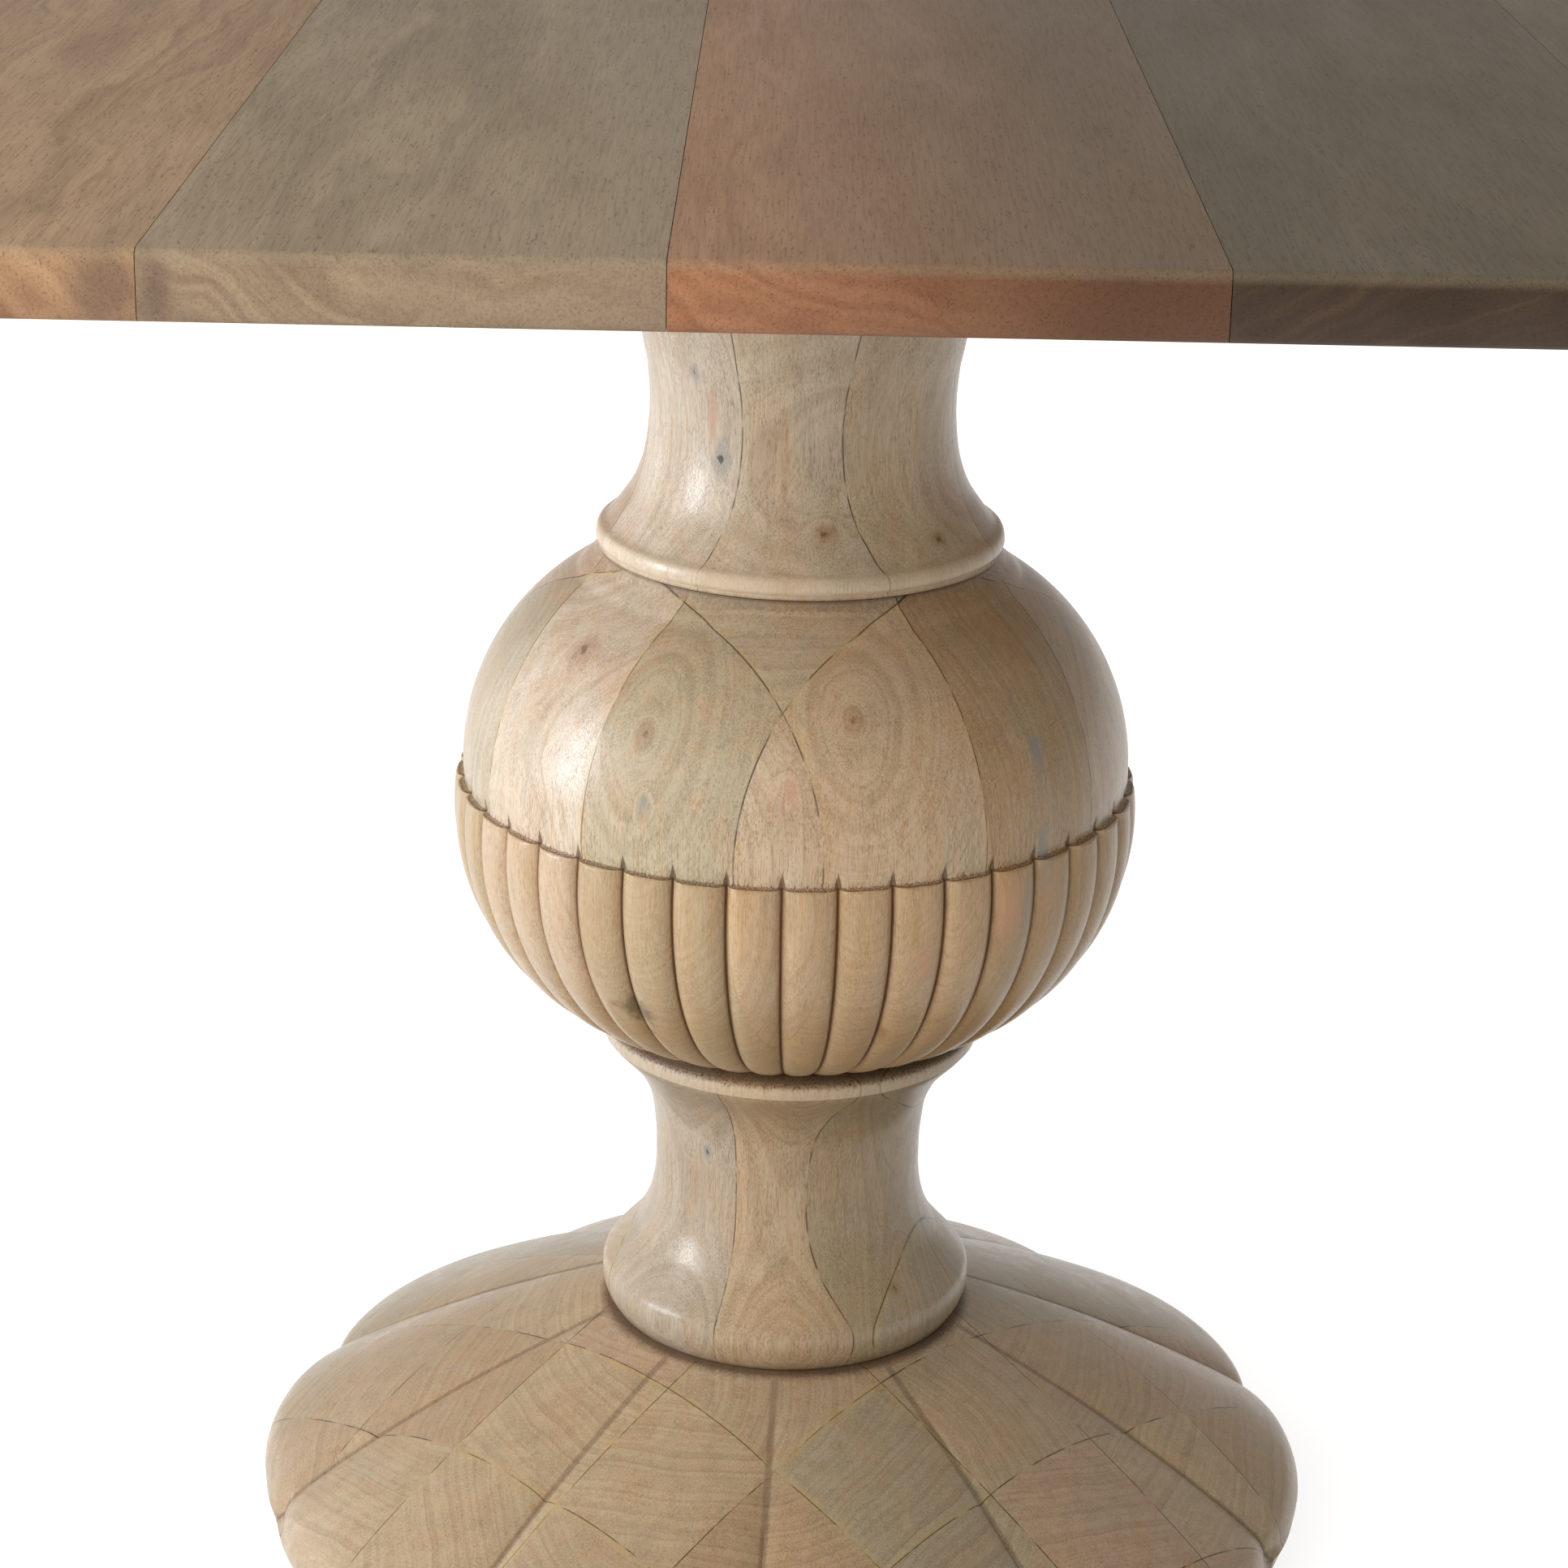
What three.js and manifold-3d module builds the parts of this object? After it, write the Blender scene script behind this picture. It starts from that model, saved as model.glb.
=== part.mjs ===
// Square-topped dining table on one round turned pedestal.
//
// Millimetres, +Z up. The origin is on the floor, under the middle of the pedestal.
// From the floor up: four screw-in levelling feet, a plinth disc, a carved base, a lower
// column, a fluted globe, an upper column, two crossed bearers and a plank top.
// A steel tie rod runs up the middle and clamps the turned pieces to the bearers.

import * as THREE from 'three';
import { mergeVertices } from 'three/addons/utils/BufferGeometryUtils.js';
import Module from 'manifold-3d';

const wasm = await Module();
wasm.setup();

// ---------- driving dimensions ----------

const TABLE_HEIGHT = 762;

// The top: planks of different widths, side by side, running from front to back.
const TOP_SIDE = 1016;
const TOP_THICKNESS = 25;
const TOP_CORNER_RADIUS = 40;
const TOP_EASED_EDGE = 3.5;
const PLANK_SHARES = [143, 144, 174, 185, 182, 188];

// Loose splines in grooves along the plank joints.
const SPLINE_WIDTH = 24;
const SPLINE_THICKNESS = 6;
const SPLINE_END_INSET = 60;

// Cleats across the planks, and crossed bearers that carry the top on the pedestal.
const CLEAT_LENGTH = 860;
const CLEAT_WIDTH = 60;
const CLEAT_HEIGHT = 20;
const CLEAT_INSET = 138;
const CLEAT_TO_BEARER = 20;
const BEARER_LENGTH = 640;
const BEARER_WIDTH = 90;
const BEARER_HEIGHT = 35;
const BOARD_CHAMFER = 3;

// Countersunk wood screws.
const SCREW_HEAD_RADIUS = 4.5;
const SCREW_SHANK_RADIUS = 2.2;
const SCREW_HEAD_HEIGHT = 3;
const SCREW_BITE = 14;
const BEARER_SCREW_REACH = 265;
const BEARER_COUNTERBORE_DEPTH = 12;
const BEARER_COUNTERBORE_RADIUS = 6;

// Turned pieces, bottom to top.
const FOOT_PAD_HEIGHT = 6;
const FOOT_COLLAR_HEIGHT = 5;
const PLINTH_RADIUS = 250;
const PLINTH_HEIGHT = 14;
const PLINTH_ROUNDING = 4;
const PLINTH_HOLE_RADIUS = 40;
const BASE_RADIUS = 262;
const BASE_HEIGHT = 101;
const BASE_SEAT_RADIUS = 88;
const LOWER_COLUMN_HEIGHT = 153;
const LOWER_FOOT_RADIUS = 91;
const LOWER_WAIST_RADIUS = 64.8;
const LOWER_BEAD_RADIUS = 90.5;
const GLOBE_HEIGHT = 236.5;
const GLOBE_FLUTED_ARC = 112;
const GLOBE_SMOOTH_ARC = 107;
const GLOBE_SHOULDER_HEIGHT = 123.5;
const GLOBE_SEAT_RADIUS = 76.5;
const GLOBE_NECK_RADIUS = 93;
const GLOBE_NECK_HEIGHT = 6.5;
const GLOBE_STEP = 4;
const UPPER_BEAD_RADIUS = 95;
const UPPER_BEAD_HEIGHT = 8;
const UPPER_WAIST_RADIUS = 70.8;
const UPPER_HEAD_RADIUS = 98;
const UPPER_HEAD_HEIGHT = 14;

// How far the curves of the turned profiles reach: set-backs from a radius, and heights.
const BASE_RIM_SETBACK = 5;
const BASE_RIM_HEIGHT = 19;
const BASE_BROW_SETBACK = 22;
const BASE_BROW_HEIGHT = 32;
const BASE_SWEEP_SETBACK = 62;
const BASE_SWEEP_HEIGHT = 55.5;
const BASE_SEAT_SWEEP = 46;
const BASE_SEAT_EASE = 16;
const BASE_SEAT_LIP = 4;
const LOWER_FOOT_SETBACK = 5;
const LOWER_FOOT_FULL_HEIGHT = 16;
const LOWER_FOOT_SHOULDER = 21;
const LOWER_FOOT_TOP_SETBACK = 7;
const LOWER_FOOT_TOP_HEIGHT = 28;
const LOWER_COVE_HEIGHT = 40;
const LOWER_WAIST_EASE_DOWN = 27;
const LOWER_WAIST_EASE_UP = 34;
const LOWER_FLARE_SETBACK = 14.5;
const LOWER_FLARE_DROP = 24;
const LOWER_BEAD_HEIGHT = 11;
const GLOBE_FLUTED_CENTRE_DROP = 14.5;
const GLOBE_SMOOTH_CENTRE_RISE = 8;
const GLOBE_SHOULDER_SLOPE = 1;
const UPPER_COVE_SETBACK = 15;
const UPPER_COVE_HEIGHT = 16;
const UPPER_WAIST_EASE_DOWN = 30;
const UPPER_WAIST_EASE_UP = 33;
const UPPER_FLARE_SETBACK = 15;
const UPPER_FLARE_DROP = 30;
const UPPER_HEAD_SETBACK = 3;
const UPPER_HEAD_ROUNDING = 5;

// Carving.
const FLUTE_COUNT = 40;
const FLUTE_DEPTH = 5;
const FLUTE_RUN_OUT = 20;
const FLUTE_PHASE = THREE.MathUtils.degToRad(-1.9);
const LOBE_COUNT = 10;
const LOBE_DEPTH = 10;
const LOBE_PHASE = THREE.MathUtils.degToRad(-2.5);

// Tie rod, its nuts and washers, and the dowels between the turned pieces.
const ROD_RADIUS = 8;
const ROD_BORE_RADIUS = 10;
const ROD_END = 3;
const NUT_ACROSS_FLATS = 24;
const NUT_HEIGHT = 13;
const WASHER_RADIUS = 20;
const WASHER_THICKNESS = 3;
const WRENCH_ROOM = 8;
const BASE_RECESS_DEPTH = 34;
const DOWEL_RADIUS = 5;
const DOWEL_LENGTH = 32;
const DOWEL_OFFSET = 33;

// Levelling feet.
const FOOT_COUNT = 4;
const FOOT_CIRCLE_RADIUS = 205;
const FOOT_PAD_RADIUS = 18;
const FOOT_PAD_ROUNDING = 2;
const FOOT_PAD_SHOULDER = 3;
const FOOT_SPIGOT_RADIUS = 4;
const FOOT_SPIGOT_LENGTH = 3.5;
const FOOT_COLLAR_RADIUS = 8;
const FOOT_STEM_RADIUS = 5;
const FOOT_STEM_LENGTH = 36;
const INSERT_RADIUS = 8;
const INSERT_HEIGHT = 12;

// Clearances.
const SEAT_GAP = 0.3;
const FIT_GAP = 0.2;
const THREAD_GAP = 0.08;

// Facets round a turned piece.
const COLUMN_FACETS = 40;
const FACETS_PER_FLUTE = 3;
const FACETS_PER_LOBE = 6;
const SMALL_FACETS = 12;
const FOOT_FACETS = 24;
const SCREW_FACETS = 8;

// ---------- levels, from the floor up ----------

const plinthBottom = FOOT_PAD_HEIGHT + SEAT_GAP + FOOT_COLLAR_HEIGHT + SEAT_GAP;
const baseBottom = plinthBottom + PLINTH_HEIGHT + SEAT_GAP;
const lowerBottom = baseBottom + BASE_HEIGHT + SEAT_GAP;
const globeBottom = lowerBottom + LOWER_COLUMN_HEIGHT + SEAT_GAP;
const upperBottom = globeBottom + GLOBE_HEIGHT + SEAT_GAP;
const topUnderside = TABLE_HEIGHT - TOP_THICKNESS;
const bearerBottom = topUnderside - SEAT_GAP - BEARER_HEIGHT;
const upperHeight = bearerBottom - SEAT_GAP - upperBottom;

// ---------- materials ----------

function finish(color, roughness, metalness = 0) {
  return new THREE.MeshStandardMaterial({ color, roughness, metalness });
}

const PLANK_WOODS = [
  finish('#9c8068', 0.5), finish('#b98a63', 0.5), finish('#a08873', 0.5),
  finish('#b4795a', 0.5), finish('#6f5c4c', 0.5), finish('#94795f', 0.5),
];
const PEDESTAL_WOOD = finish('#bfa283', 0.45);
const BEARER_WOOD = finish('#b3926f', 0.6);
const DOWEL_WOOD = finish('#d3b68c', 0.6);
const STEEL = finish('#9a9b9d', 0.35, 1);
const BRASS = finish('#b39a5c', 0.35, 1);
const NYLON = finish('#2c2c2d', 0.6);

// ---------- solids: closed geometry in, joined or cut geometry out ----------

function weld(geometry) {
  const bare = geometry.clone();
  bare.deleteAttribute('normal');
  bare.deleteAttribute('uv');
  const merged = mergeVertices(bare, 1e-4);
  const index = merged.index.array;
  const kept = [];
  for (let i = 0; i < index.length; i += 3) {
    const [a, b, c] = [index[i], index[i + 1], index[i + 2]];
    if (a !== b && b !== c && c !== a) kept.push(a, b, c);
  }
  merged.setIndex(kept);
  return merged;
}

function solidOf(geometry) {
  const welded = weld(geometry);
  return new wasm.Manifold(new wasm.Mesh({
    numProp: 3,
    vertProperties: new Float32Array(welded.attributes.position.array),
    triVerts: new Uint32Array(welded.index.array),
  }));
}

function geometryOf(solid) {
  const mesh = solid.getMesh();
  const geometry = new THREE.BufferGeometry();
  geometry.setAttribute('position', new THREE.BufferAttribute(mesh.vertProperties, 3));
  geometry.setIndex(new THREE.BufferAttribute(mesh.triVerts, 1));
  geometry.computeVertexNormals();
  return geometry;
}

function cut(geometry, tools) {
  let solid = solidOf(geometry);
  for (const tool of tools) solid = solid.subtract(solidOf(tool));
  return geometryOf(solid);
}

// ---------- basic shapes ----------

function boxBetween([x0, y0, z0], [x1, y1, z1]) {
  const box = new THREE.BoxGeometry(x1 - x0, y1 - y0, z1 - z0);
  return box.translate((x0 + x1) / 2, (y0 + y1) / 2, (z0 + z1) / 2);
}

function upright(radius, z0, z1, facets = SMALL_FACETS) {
  const rod = new THREE.CylinderGeometry(radius, radius, z1 - z0, facets);
  return rod.rotateX(Math.PI / 2).translate(0, 0, (z0 + z1) / 2);
}

// Spins a profile of (radius, height) points round the Z axis. Angle 0 faces -Y.
function turned(points, facets = COLUMN_FACETS, phase = 0) {
  const lathe = new THREE.LatheGeometry(points, facets, phase, Math.PI * 2);
  return lathe.rotateX(Math.PI / 2);
}

// Closes an outer profile, given from bottom to top, round a straight bore.
function bored(outer, boreRadius) {
  const bottom = outer[0].y;
  const top = outer[outer.length - 1].y;
  const inside = [
    new THREE.Vector2(boreRadius, top),
    new THREE.Vector2(boreRadius, bottom),
    outer[0].clone(),
  ];
  return outer.concat(inside);
}

// Pushes each vertex in along its normal by the depth given for its radius, height and angle.
function carve(geometry, depthAt) {
  const position = geometry.attributes.position;
  const normal = geometry.attributes.normal;
  for (let i = 0; i < position.count; i += 1) {
    const [x, y, z] = [position.getX(i), position.getY(i), position.getZ(i)];
    const depth = depthAt(Math.hypot(x, y), z, Math.atan2(x, -y));
    position.setXYZ(i, x - depth * normal.getX(i), y - depth * normal.getY(i),
      z - depth * normal.getZ(i));
  }
  return geometry;
}

// 0 on the crest of a rounded ridge, 1 in the groove between two ridges.
function ridge(angle, phase, count) {
  const turn = ((angle - phase) / (Math.PI * 2)) * count;
  return 1 - Math.abs(Math.sin(Math.PI * turn));
}

// ---------- fasteners ----------

// A countersunk screw, head down, its head's face at height 0 and its point at the length.
function screwShape(length, allowance = 0) {
  const head = SCREW_HEAD_RADIUS + allowance;
  const shank = SCREW_SHANK_RADIUS + allowance;
  const start = allowance > 0 ? -1 : 0;
  return turned([
    new THREE.Vector2(0, start),
    new THREE.Vector2(head, start),
    new THREE.Vector2(head, allowance),
    new THREE.Vector2(shank, SCREW_HEAD_HEIGHT + allowance),
    new THREE.Vector2(shank, length - SCREW_SHANK_RADIUS + allowance),
    new THREE.Vector2(0, length + allowance),
  ], SCREW_FACETS);
}

function nutShape() {
  const hexRadius = NUT_ACROSS_FLATS / Math.sqrt(3);
  const hexagon = upright(hexRadius, 0, NUT_HEIGHT, 6);
  return cut(hexagon, [upright(ROD_RADIUS + FIT_GAP, -1, NUT_HEIGHT + 1)]);
}

function washerShape() {
  const disc = upright(WASHER_RADIUS, 0, WASHER_THICKNESS);
  return cut(disc, [upright(ROD_RADIUS + FIT_GAP, -1, WASHER_THICKNESS + 1)]);
}

// ---------- group and placing ----------

const group = new THREE.Group();

function place(name, geometry, material, [x, y, z] = [0, 0, 0]) {
  const mesh = new THREE.Mesh(geometry, material);
  mesh.name = name;
  mesh.position.set(x, y, z);
  group.add(mesh);
  return mesh;
}

// ---------- the top ----------

const plankEdges = [-TOP_SIDE / 2];
const shareTotal = PLANK_SHARES.reduce((sum, share) => sum + share, 0);
for (const share of PLANK_SHARES) {
  plankEdges.push(plankEdges[plankEdges.length - 1] + (TOP_SIDE * share) / shareTotal);
}
const plankJoints = plankEdges.slice(1, -1);
const cleatY = TOP_SIDE / 2 - CLEAT_INSET;
const cleatBottom = topUnderside - SEAT_GAP - CLEAT_HEIGHT;
const cleatScrewLength = CLEAT_HEIGHT + SEAT_GAP + SCREW_BITE;
const bearerScrewBottom = bearerBottom + BEARER_COUNTERBORE_DEPTH;
const bearerScrewLength = topUnderside - bearerScrewBottom + SCREW_BITE;

// One screw per plank, midway along the stretch between its splines that the cleat covers.
function cleatScrewSpots() {
  const spots = [];
  for (const y of [-cleatY, cleatY]) {
    for (let i = 0; i < PLANK_SHARES.length; i += 1) {
      const from = Math.max(plankEdges[i] + SPLINE_WIDTH / 2, -CLEAT_LENGTH / 2);
      const to = Math.min(plankEdges[i + 1] - SPLINE_WIDTH / 2, CLEAT_LENGTH / 2);
      spots.push([(from + to) / 2, y]);
    }
  }
  return spots;
}

// The long bearer fits between the cleats; its screws are as far from its ends as the
// cross bearer's are.
const longBearerLength = 2 * (cleatY - CLEAT_WIDTH / 2 - CLEAT_TO_BEARER);
const longScrewReach = BEARER_SCREW_REACH + (longBearerLength - BEARER_LENGTH) / 2;

function bearerScrewSpots() {
  return [[-BEARER_SCREW_REACH, 0], [BEARER_SCREW_REACH, 0],
    [0, -longScrewReach], [0, longScrewReach]];
}

function roundedSquare(side, radius) {
  const half = side / 2;
  const turn = Math.PI / 2;
  const shape = new THREE.Shape();
  shape.moveTo(half, -half + radius);
  shape.absarc(half - radius, half - radius, radius, 0, turn, false);
  shape.absarc(radius - half, half - radius, radius, turn, 2 * turn, false);
  shape.absarc(radius - half, radius - half, radius, 2 * turn, 3 * turn, false);
  shape.absarc(half - radius, radius - half, radius, 3 * turn, 4 * turn, false);
  return shape;
}

function topBlank() {
  const outline = roundedSquare(TOP_SIDE - 2 * TOP_EASED_EDGE, TOP_CORNER_RADIUS - TOP_EASED_EDGE);
  const slab = new THREE.ExtrudeGeometry(outline, {
    depth: TOP_THICKNESS - 2 * TOP_EASED_EDGE,
    bevelThickness: TOP_EASED_EDGE,
    bevelSize: TOP_EASED_EDGE,
    bevelSegments: 3,
    curveSegments: 10,
  });
  return slab.translate(0, 0, TOP_EASED_EDGE);
}

function splineBox(x, allowance) {
  const halfWidth = SPLINE_WIDTH / 2 + allowance;
  const halfLength = TOP_SIDE / 2 - SPLINE_END_INSET + allowance;
  const low = (TOP_THICKNESS - SPLINE_THICKNESS) / 2 - allowance;
  const high = (TOP_THICKNESS + SPLINE_THICKNESS) / 2 + allowance;
  return boxBetween([x - halfWidth, -halfLength, low], [x + halfWidth, halfLength, high]);
}

function screwHolesInTop() {
  const holes = [];
  for (const [x, y] of cleatScrewSpots()) {
    holes.push(screwShape(cleatScrewLength, FIT_GAP).translate(x, y, cleatBottom - topUnderside));
  }
  for (const [x, y] of bearerScrewSpots()) {
    holes.push(screwShape(bearerScrewLength, FIT_GAP)
      .translate(x, y, bearerScrewBottom - topUnderside));
  }
  return holes;
}

function addTop() {
  let whole = solidOf(topBlank());
  for (const x of plankJoints) whole = whole.subtract(solidOf(splineBox(x, FIT_GAP)));
  for (const hole of screwHolesInTop()) whole = whole.subtract(solidOf(hole));
  for (let i = 0; i < PLANK_SHARES.length; i += 1) {
    const isFirst = i === 0;
    const isLast = i === PLANK_SHARES.length - 1;
    const slice = boxBetween(
      [plankEdges[i] + (isFirst ? -1 : SEAT_GAP / 2), -TOP_SIDE, -1],
      [plankEdges[i + 1] - (isLast ? -1 : SEAT_GAP / 2), TOP_SIDE, TOP_THICKNESS + 1],
    );
    place(`top_plank_${i + 1}`, geometryOf(whole.intersect(solidOf(slice))), PLANK_WOODS[i],
      [0, 0, topUnderside]);
  }
  plankJoints.forEach((x, i) => {
    place(`top_spline_${i + 1}`, splineBox(x, 0), DOWEL_WOOD, [0, 0, topUnderside]);
  });
}

// ---------- cleats and bearers ----------

// A bar along X with its two lower long edges and lower ends chamfered.
function chamferedBar(length, width, height) {
  const half = width / 2;
  const section = new THREE.Shape([
    new THREE.Vector2(-half + BOARD_CHAMFER, 0),
    new THREE.Vector2(half - BOARD_CHAMFER, 0),
    new THREE.Vector2(half, BOARD_CHAMFER),
    new THREE.Vector2(half, height),
    new THREE.Vector2(-half, height),
    new THREE.Vector2(-half, BOARD_CHAMFER),
  ]);
  const bar = new THREE.ExtrudeGeometry(section, { depth: length, bevelEnabled: false });
  return bar.translate(0, 0, -length / 2).rotateX(Math.PI / 2).rotateZ(Math.PI / 2);
}

function addCleats() {
  const spots = cleatScrewSpots();
  const sides = [['front', -cleatY], ['back', cleatY]];
  for (const [side, cleatAt] of sides) {
    const holes = spots.filter(([, y]) => y === cleatAt)
      .map(([x]) => screwShape(cleatScrewLength, FIT_GAP).translate(x, 0, 0));
    place(`${side}_cleat`, cut(chamferedBar(CLEAT_LENGTH, CLEAT_WIDTH, CLEAT_HEIGHT), holes),
      BEARER_WOOD, [0, cleatAt, cleatBottom]);
  }
  spots.forEach(([x, y], i) => {
    place(`cleat_screw_${i + 1}`, screwShape(cleatScrewLength), STEEL, [x, y, cleatBottom]);
  });
}

function addBearers() {
  const halfLap = BEARER_HEIGHT / 2;
  const notch = BEARER_WIDTH / 2 + SEAT_GAP;
  const nutPocketRadius = WASHER_RADIUS + SEAT_GAP;
  const pocketFloor = BEARER_HEIGHT - ROD_END - NUT_HEIGHT - WASHER_THICKNESS - SEAT_GAP;
  const common = [
    upright(ROD_BORE_RADIUS, -1, BEARER_HEIGHT + 1),
    upright(nutPocketRadius, pocketFloor, BEARER_HEIGHT + 1),
  ];
  const screwHoles = (reach) => [-reach, reach].flatMap((x) => [
    upright(BEARER_COUNTERBORE_RADIUS, -1, BEARER_COUNTERBORE_DEPTH),
    upright(SCREW_SHANK_RADIUS + FIT_GAP, 0, BEARER_HEIGHT + 1, SCREW_FACETS),
    screwShape(bearerScrewLength, FIT_GAP).translate(0, 0, BEARER_COUNTERBORE_DEPTH),
  ].map((hole) => hole.translate(x, 0, 0)));
  const crossBar = chamferedBar(BEARER_LENGTH, BEARER_WIDTH, BEARER_HEIGHT);
  const longBar = chamferedBar(longBearerLength, BEARER_WIDTH, BEARER_HEIGHT);
  const upperNotch = boxBetween([-notch, -BEARER_WIDTH, halfLap - SEAT_GAP / 2],
    [notch, BEARER_WIDTH, BEARER_HEIGHT + 1]);
  const lowerNotch = boxBetween([-notch, -BEARER_WIDTH, -1],
    [notch, BEARER_WIDTH, halfLap + SEAT_GAP / 2]);
  const across = cut(crossBar,
    [...common, ...screwHoles(BEARER_SCREW_REACH), upperNotch, dowelHole(3, 0)]);
  const along = cut(longBar, [...common, ...screwHoles(longScrewReach), lowerNotch])
    .rotateZ(Math.PI / 2);
  place('cross_bearer', across, BEARER_WOOD, [0, 0, bearerBottom]);
  place('long_bearer', along, BEARER_WOOD, [0, 0, bearerBottom]);
  bearerScrewSpots().forEach(([x, y], i) => {
    place(`bearer_screw_${i + 1}`, screwShape(bearerScrewLength), STEEL, [x, y, bearerScrewBottom]);
  });
}

// ---------- dowels between the stacked pieces ----------

// Each joint's dowel stands at its own quarter turn round the rod.
function dowelSpot(joint) {
  const angle = (joint * Math.PI) / 2;
  return [DOWEL_OFFSET * Math.sin(angle), DOWEL_OFFSET * Math.cos(angle)];
}

// The hole of a joint's dowel in a piece whose face at that joint is at the given height.
function dowelHole(joint, face) {
  const [x, y] = dowelSpot(joint);
  const reach = DOWEL_LENGTH / 2 + FIT_GAP;
  return upright(DOWEL_RADIUS + FIT_GAP, face - reach, face + reach).translate(x, y, 0);
}

function addDowels() {
  const faces = [lowerBottom, globeBottom, upperBottom, bearerBottom];
  faces.forEach((face, joint) => {
    const [x, y] = dowelSpot(joint);
    const dowel = upright(DOWEL_RADIUS, -DOWEL_LENGTH / 2, DOWEL_LENGTH / 2);
    place(`dowel_${joint + 1}`, dowel, DOWEL_WOOD, [x, y, face - SEAT_GAP / 2]);
  });
}

// ---------- turned and carved pieces ----------

function upperColumn() {
  const height = upperHeight;
  const waist = UPPER_WAIST_RADIUS;
  const head = UPPER_HEAD_RADIUS;
  const beadTop = UPPER_BEAD_HEIGHT;
  const waistHeight = height * 0.395;
  const headBottom = height - UPPER_HEAD_HEIGHT;
  const profile = new THREE.Path();
  profile.moveTo(GLOBE_NECK_RADIUS - 1, 0);
  profile.bezierCurveTo(UPPER_BEAD_RADIUS, 2, UPPER_BEAD_RADIUS + 1, beadTop * 0.7,
    UPPER_BEAD_RADIUS - 1.5, beadTop);
  profile.bezierCurveTo(UPPER_BEAD_RADIUS - UPPER_COVE_SETBACK, beadTop + UPPER_COVE_HEIGHT,
    waist, waistHeight - UPPER_WAIST_EASE_DOWN, waist, waistHeight);
  profile.bezierCurveTo(waist, waistHeight + UPPER_WAIST_EASE_UP,
    head - UPPER_FLARE_SETBACK, headBottom - UPPER_FLARE_DROP, head - UPPER_HEAD_SETBACK, headBottom);
  profile.bezierCurveTo(head, headBottom + UPPER_HEAD_ROUNDING * 0.2,
    head, headBottom + UPPER_HEAD_ROUNDING * 0.6, head, headBottom + UPPER_HEAD_ROUNDING);
  profile.lineTo(head, height);
  const blank = turned(bored(profile.getPoints(3), ROD_BORE_RADIUS));
  return cut(blank, [dowelHole(2, 0), dowelHole(3, height)]);
}

function globe() {
  const flutedMiddle = GLOBE_SHOULDER_HEIGHT - GLOBE_FLUTED_CENTRE_DROP;
  const smoothMiddle = GLOBE_SHOULDER_HEIGHT + GLOBE_SMOOTH_CENTRE_RISE;
  const neckFoot = GLOBE_HEIGHT - GLOBE_NECK_HEIGHT;
  const flutedCentre = GLOBE_SEAT_RADIUS
    - Math.sqrt(GLOBE_FLUTED_ARC ** 2 - flutedMiddle ** 2);
  const smoothRise = neckFoot - smoothMiddle;
  const smoothCentre = GLOBE_NECK_RADIUS - Math.sqrt(GLOBE_SMOOTH_ARC ** 2 - smoothRise ** 2);
  const shoulderTop = GLOBE_SHOULDER_HEIGHT + GLOBE_SHOULDER_SLOPE;
  const profile = new THREE.Path();
  profile.absarc(flutedCentre, flutedMiddle, GLOBE_FLUTED_ARC,
    -Math.asin(flutedMiddle / GLOBE_FLUTED_ARC),
    Math.asin((GLOBE_SHOULDER_HEIGHT - flutedMiddle) / GLOBE_FLUTED_ARC), false);
  profile.absarc(smoothCentre, smoothMiddle, GLOBE_SMOOTH_ARC,
    Math.asin((shoulderTop - smoothMiddle) / GLOBE_SMOOTH_ARC),
    Math.asin(smoothRise / GLOBE_SMOOTH_ARC), false);
  profile.lineTo(GLOBE_NECK_RADIUS, GLOBE_HEIGHT);
  const facets = FLUTE_COUNT * FACETS_PER_FLUTE;
  const blank = turned(bored(profile.getPoints(3), ROD_BORE_RADIUS), facets, FLUTE_PHASE);
  const flutesEnd = (GLOBE_SHOULDER_HEIGHT + shoulderTop) / 2;
  const carved = carve(blank, (radius, z, angle) => {
    const run = THREE.MathUtils.clamp((radius - GLOBE_SEAT_RADIUS) / FLUTE_RUN_OUT, 0, 1);
    return z < flutesEnd ? FLUTE_DEPTH * run * ridge(angle, FLUTE_PHASE, FLUTE_COUNT) : 0;
  });
  return cut(carved, [dowelHole(1, 0), dowelHole(2, GLOBE_HEIGHT)]);
}

function lowerColumn() {
  const height = LOWER_COLUMN_HEIGHT;
  const waist = LOWER_WAIST_RADIUS;
  const bead = LOWER_BEAD_RADIUS;
  const foot = LOWER_FOOT_RADIUS;
  const waistHeight = height * 0.53;
  const profile = new THREE.Path();
  profile.moveTo(foot - LOWER_FOOT_SETBACK, 0);
  profile.bezierCurveTo(foot - 2, 3, foot, 9, foot, LOWER_FOOT_FULL_HEIGHT);
  profile.bezierCurveTo(foot, LOWER_FOOT_SHOULDER, foot - 2.5, LOWER_FOOT_SHOULDER + 3,
    foot - LOWER_FOOT_TOP_SETBACK, LOWER_FOOT_TOP_HEIGHT);
  profile.bezierCurveTo(waist + 6, LOWER_COVE_HEIGHT, waist, waistHeight - LOWER_WAIST_EASE_DOWN,
    waist, waistHeight);
  profile.bezierCurveTo(waist, waistHeight + LOWER_WAIST_EASE_UP,
    bead - LOWER_FLARE_SETBACK, height - LOWER_FLARE_DROP, bead - 1, height - LOWER_BEAD_HEIGHT);
  profile.bezierCurveTo(bead + 1, height - 7, bead, height - 3, bead - 3, height);
  const blank = turned(bored(profile.getPoints(3), ROD_BORE_RADIUS));
  return cut(blank, [dowelHole(0, 0), dowelHole(1, height)]);
}

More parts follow.
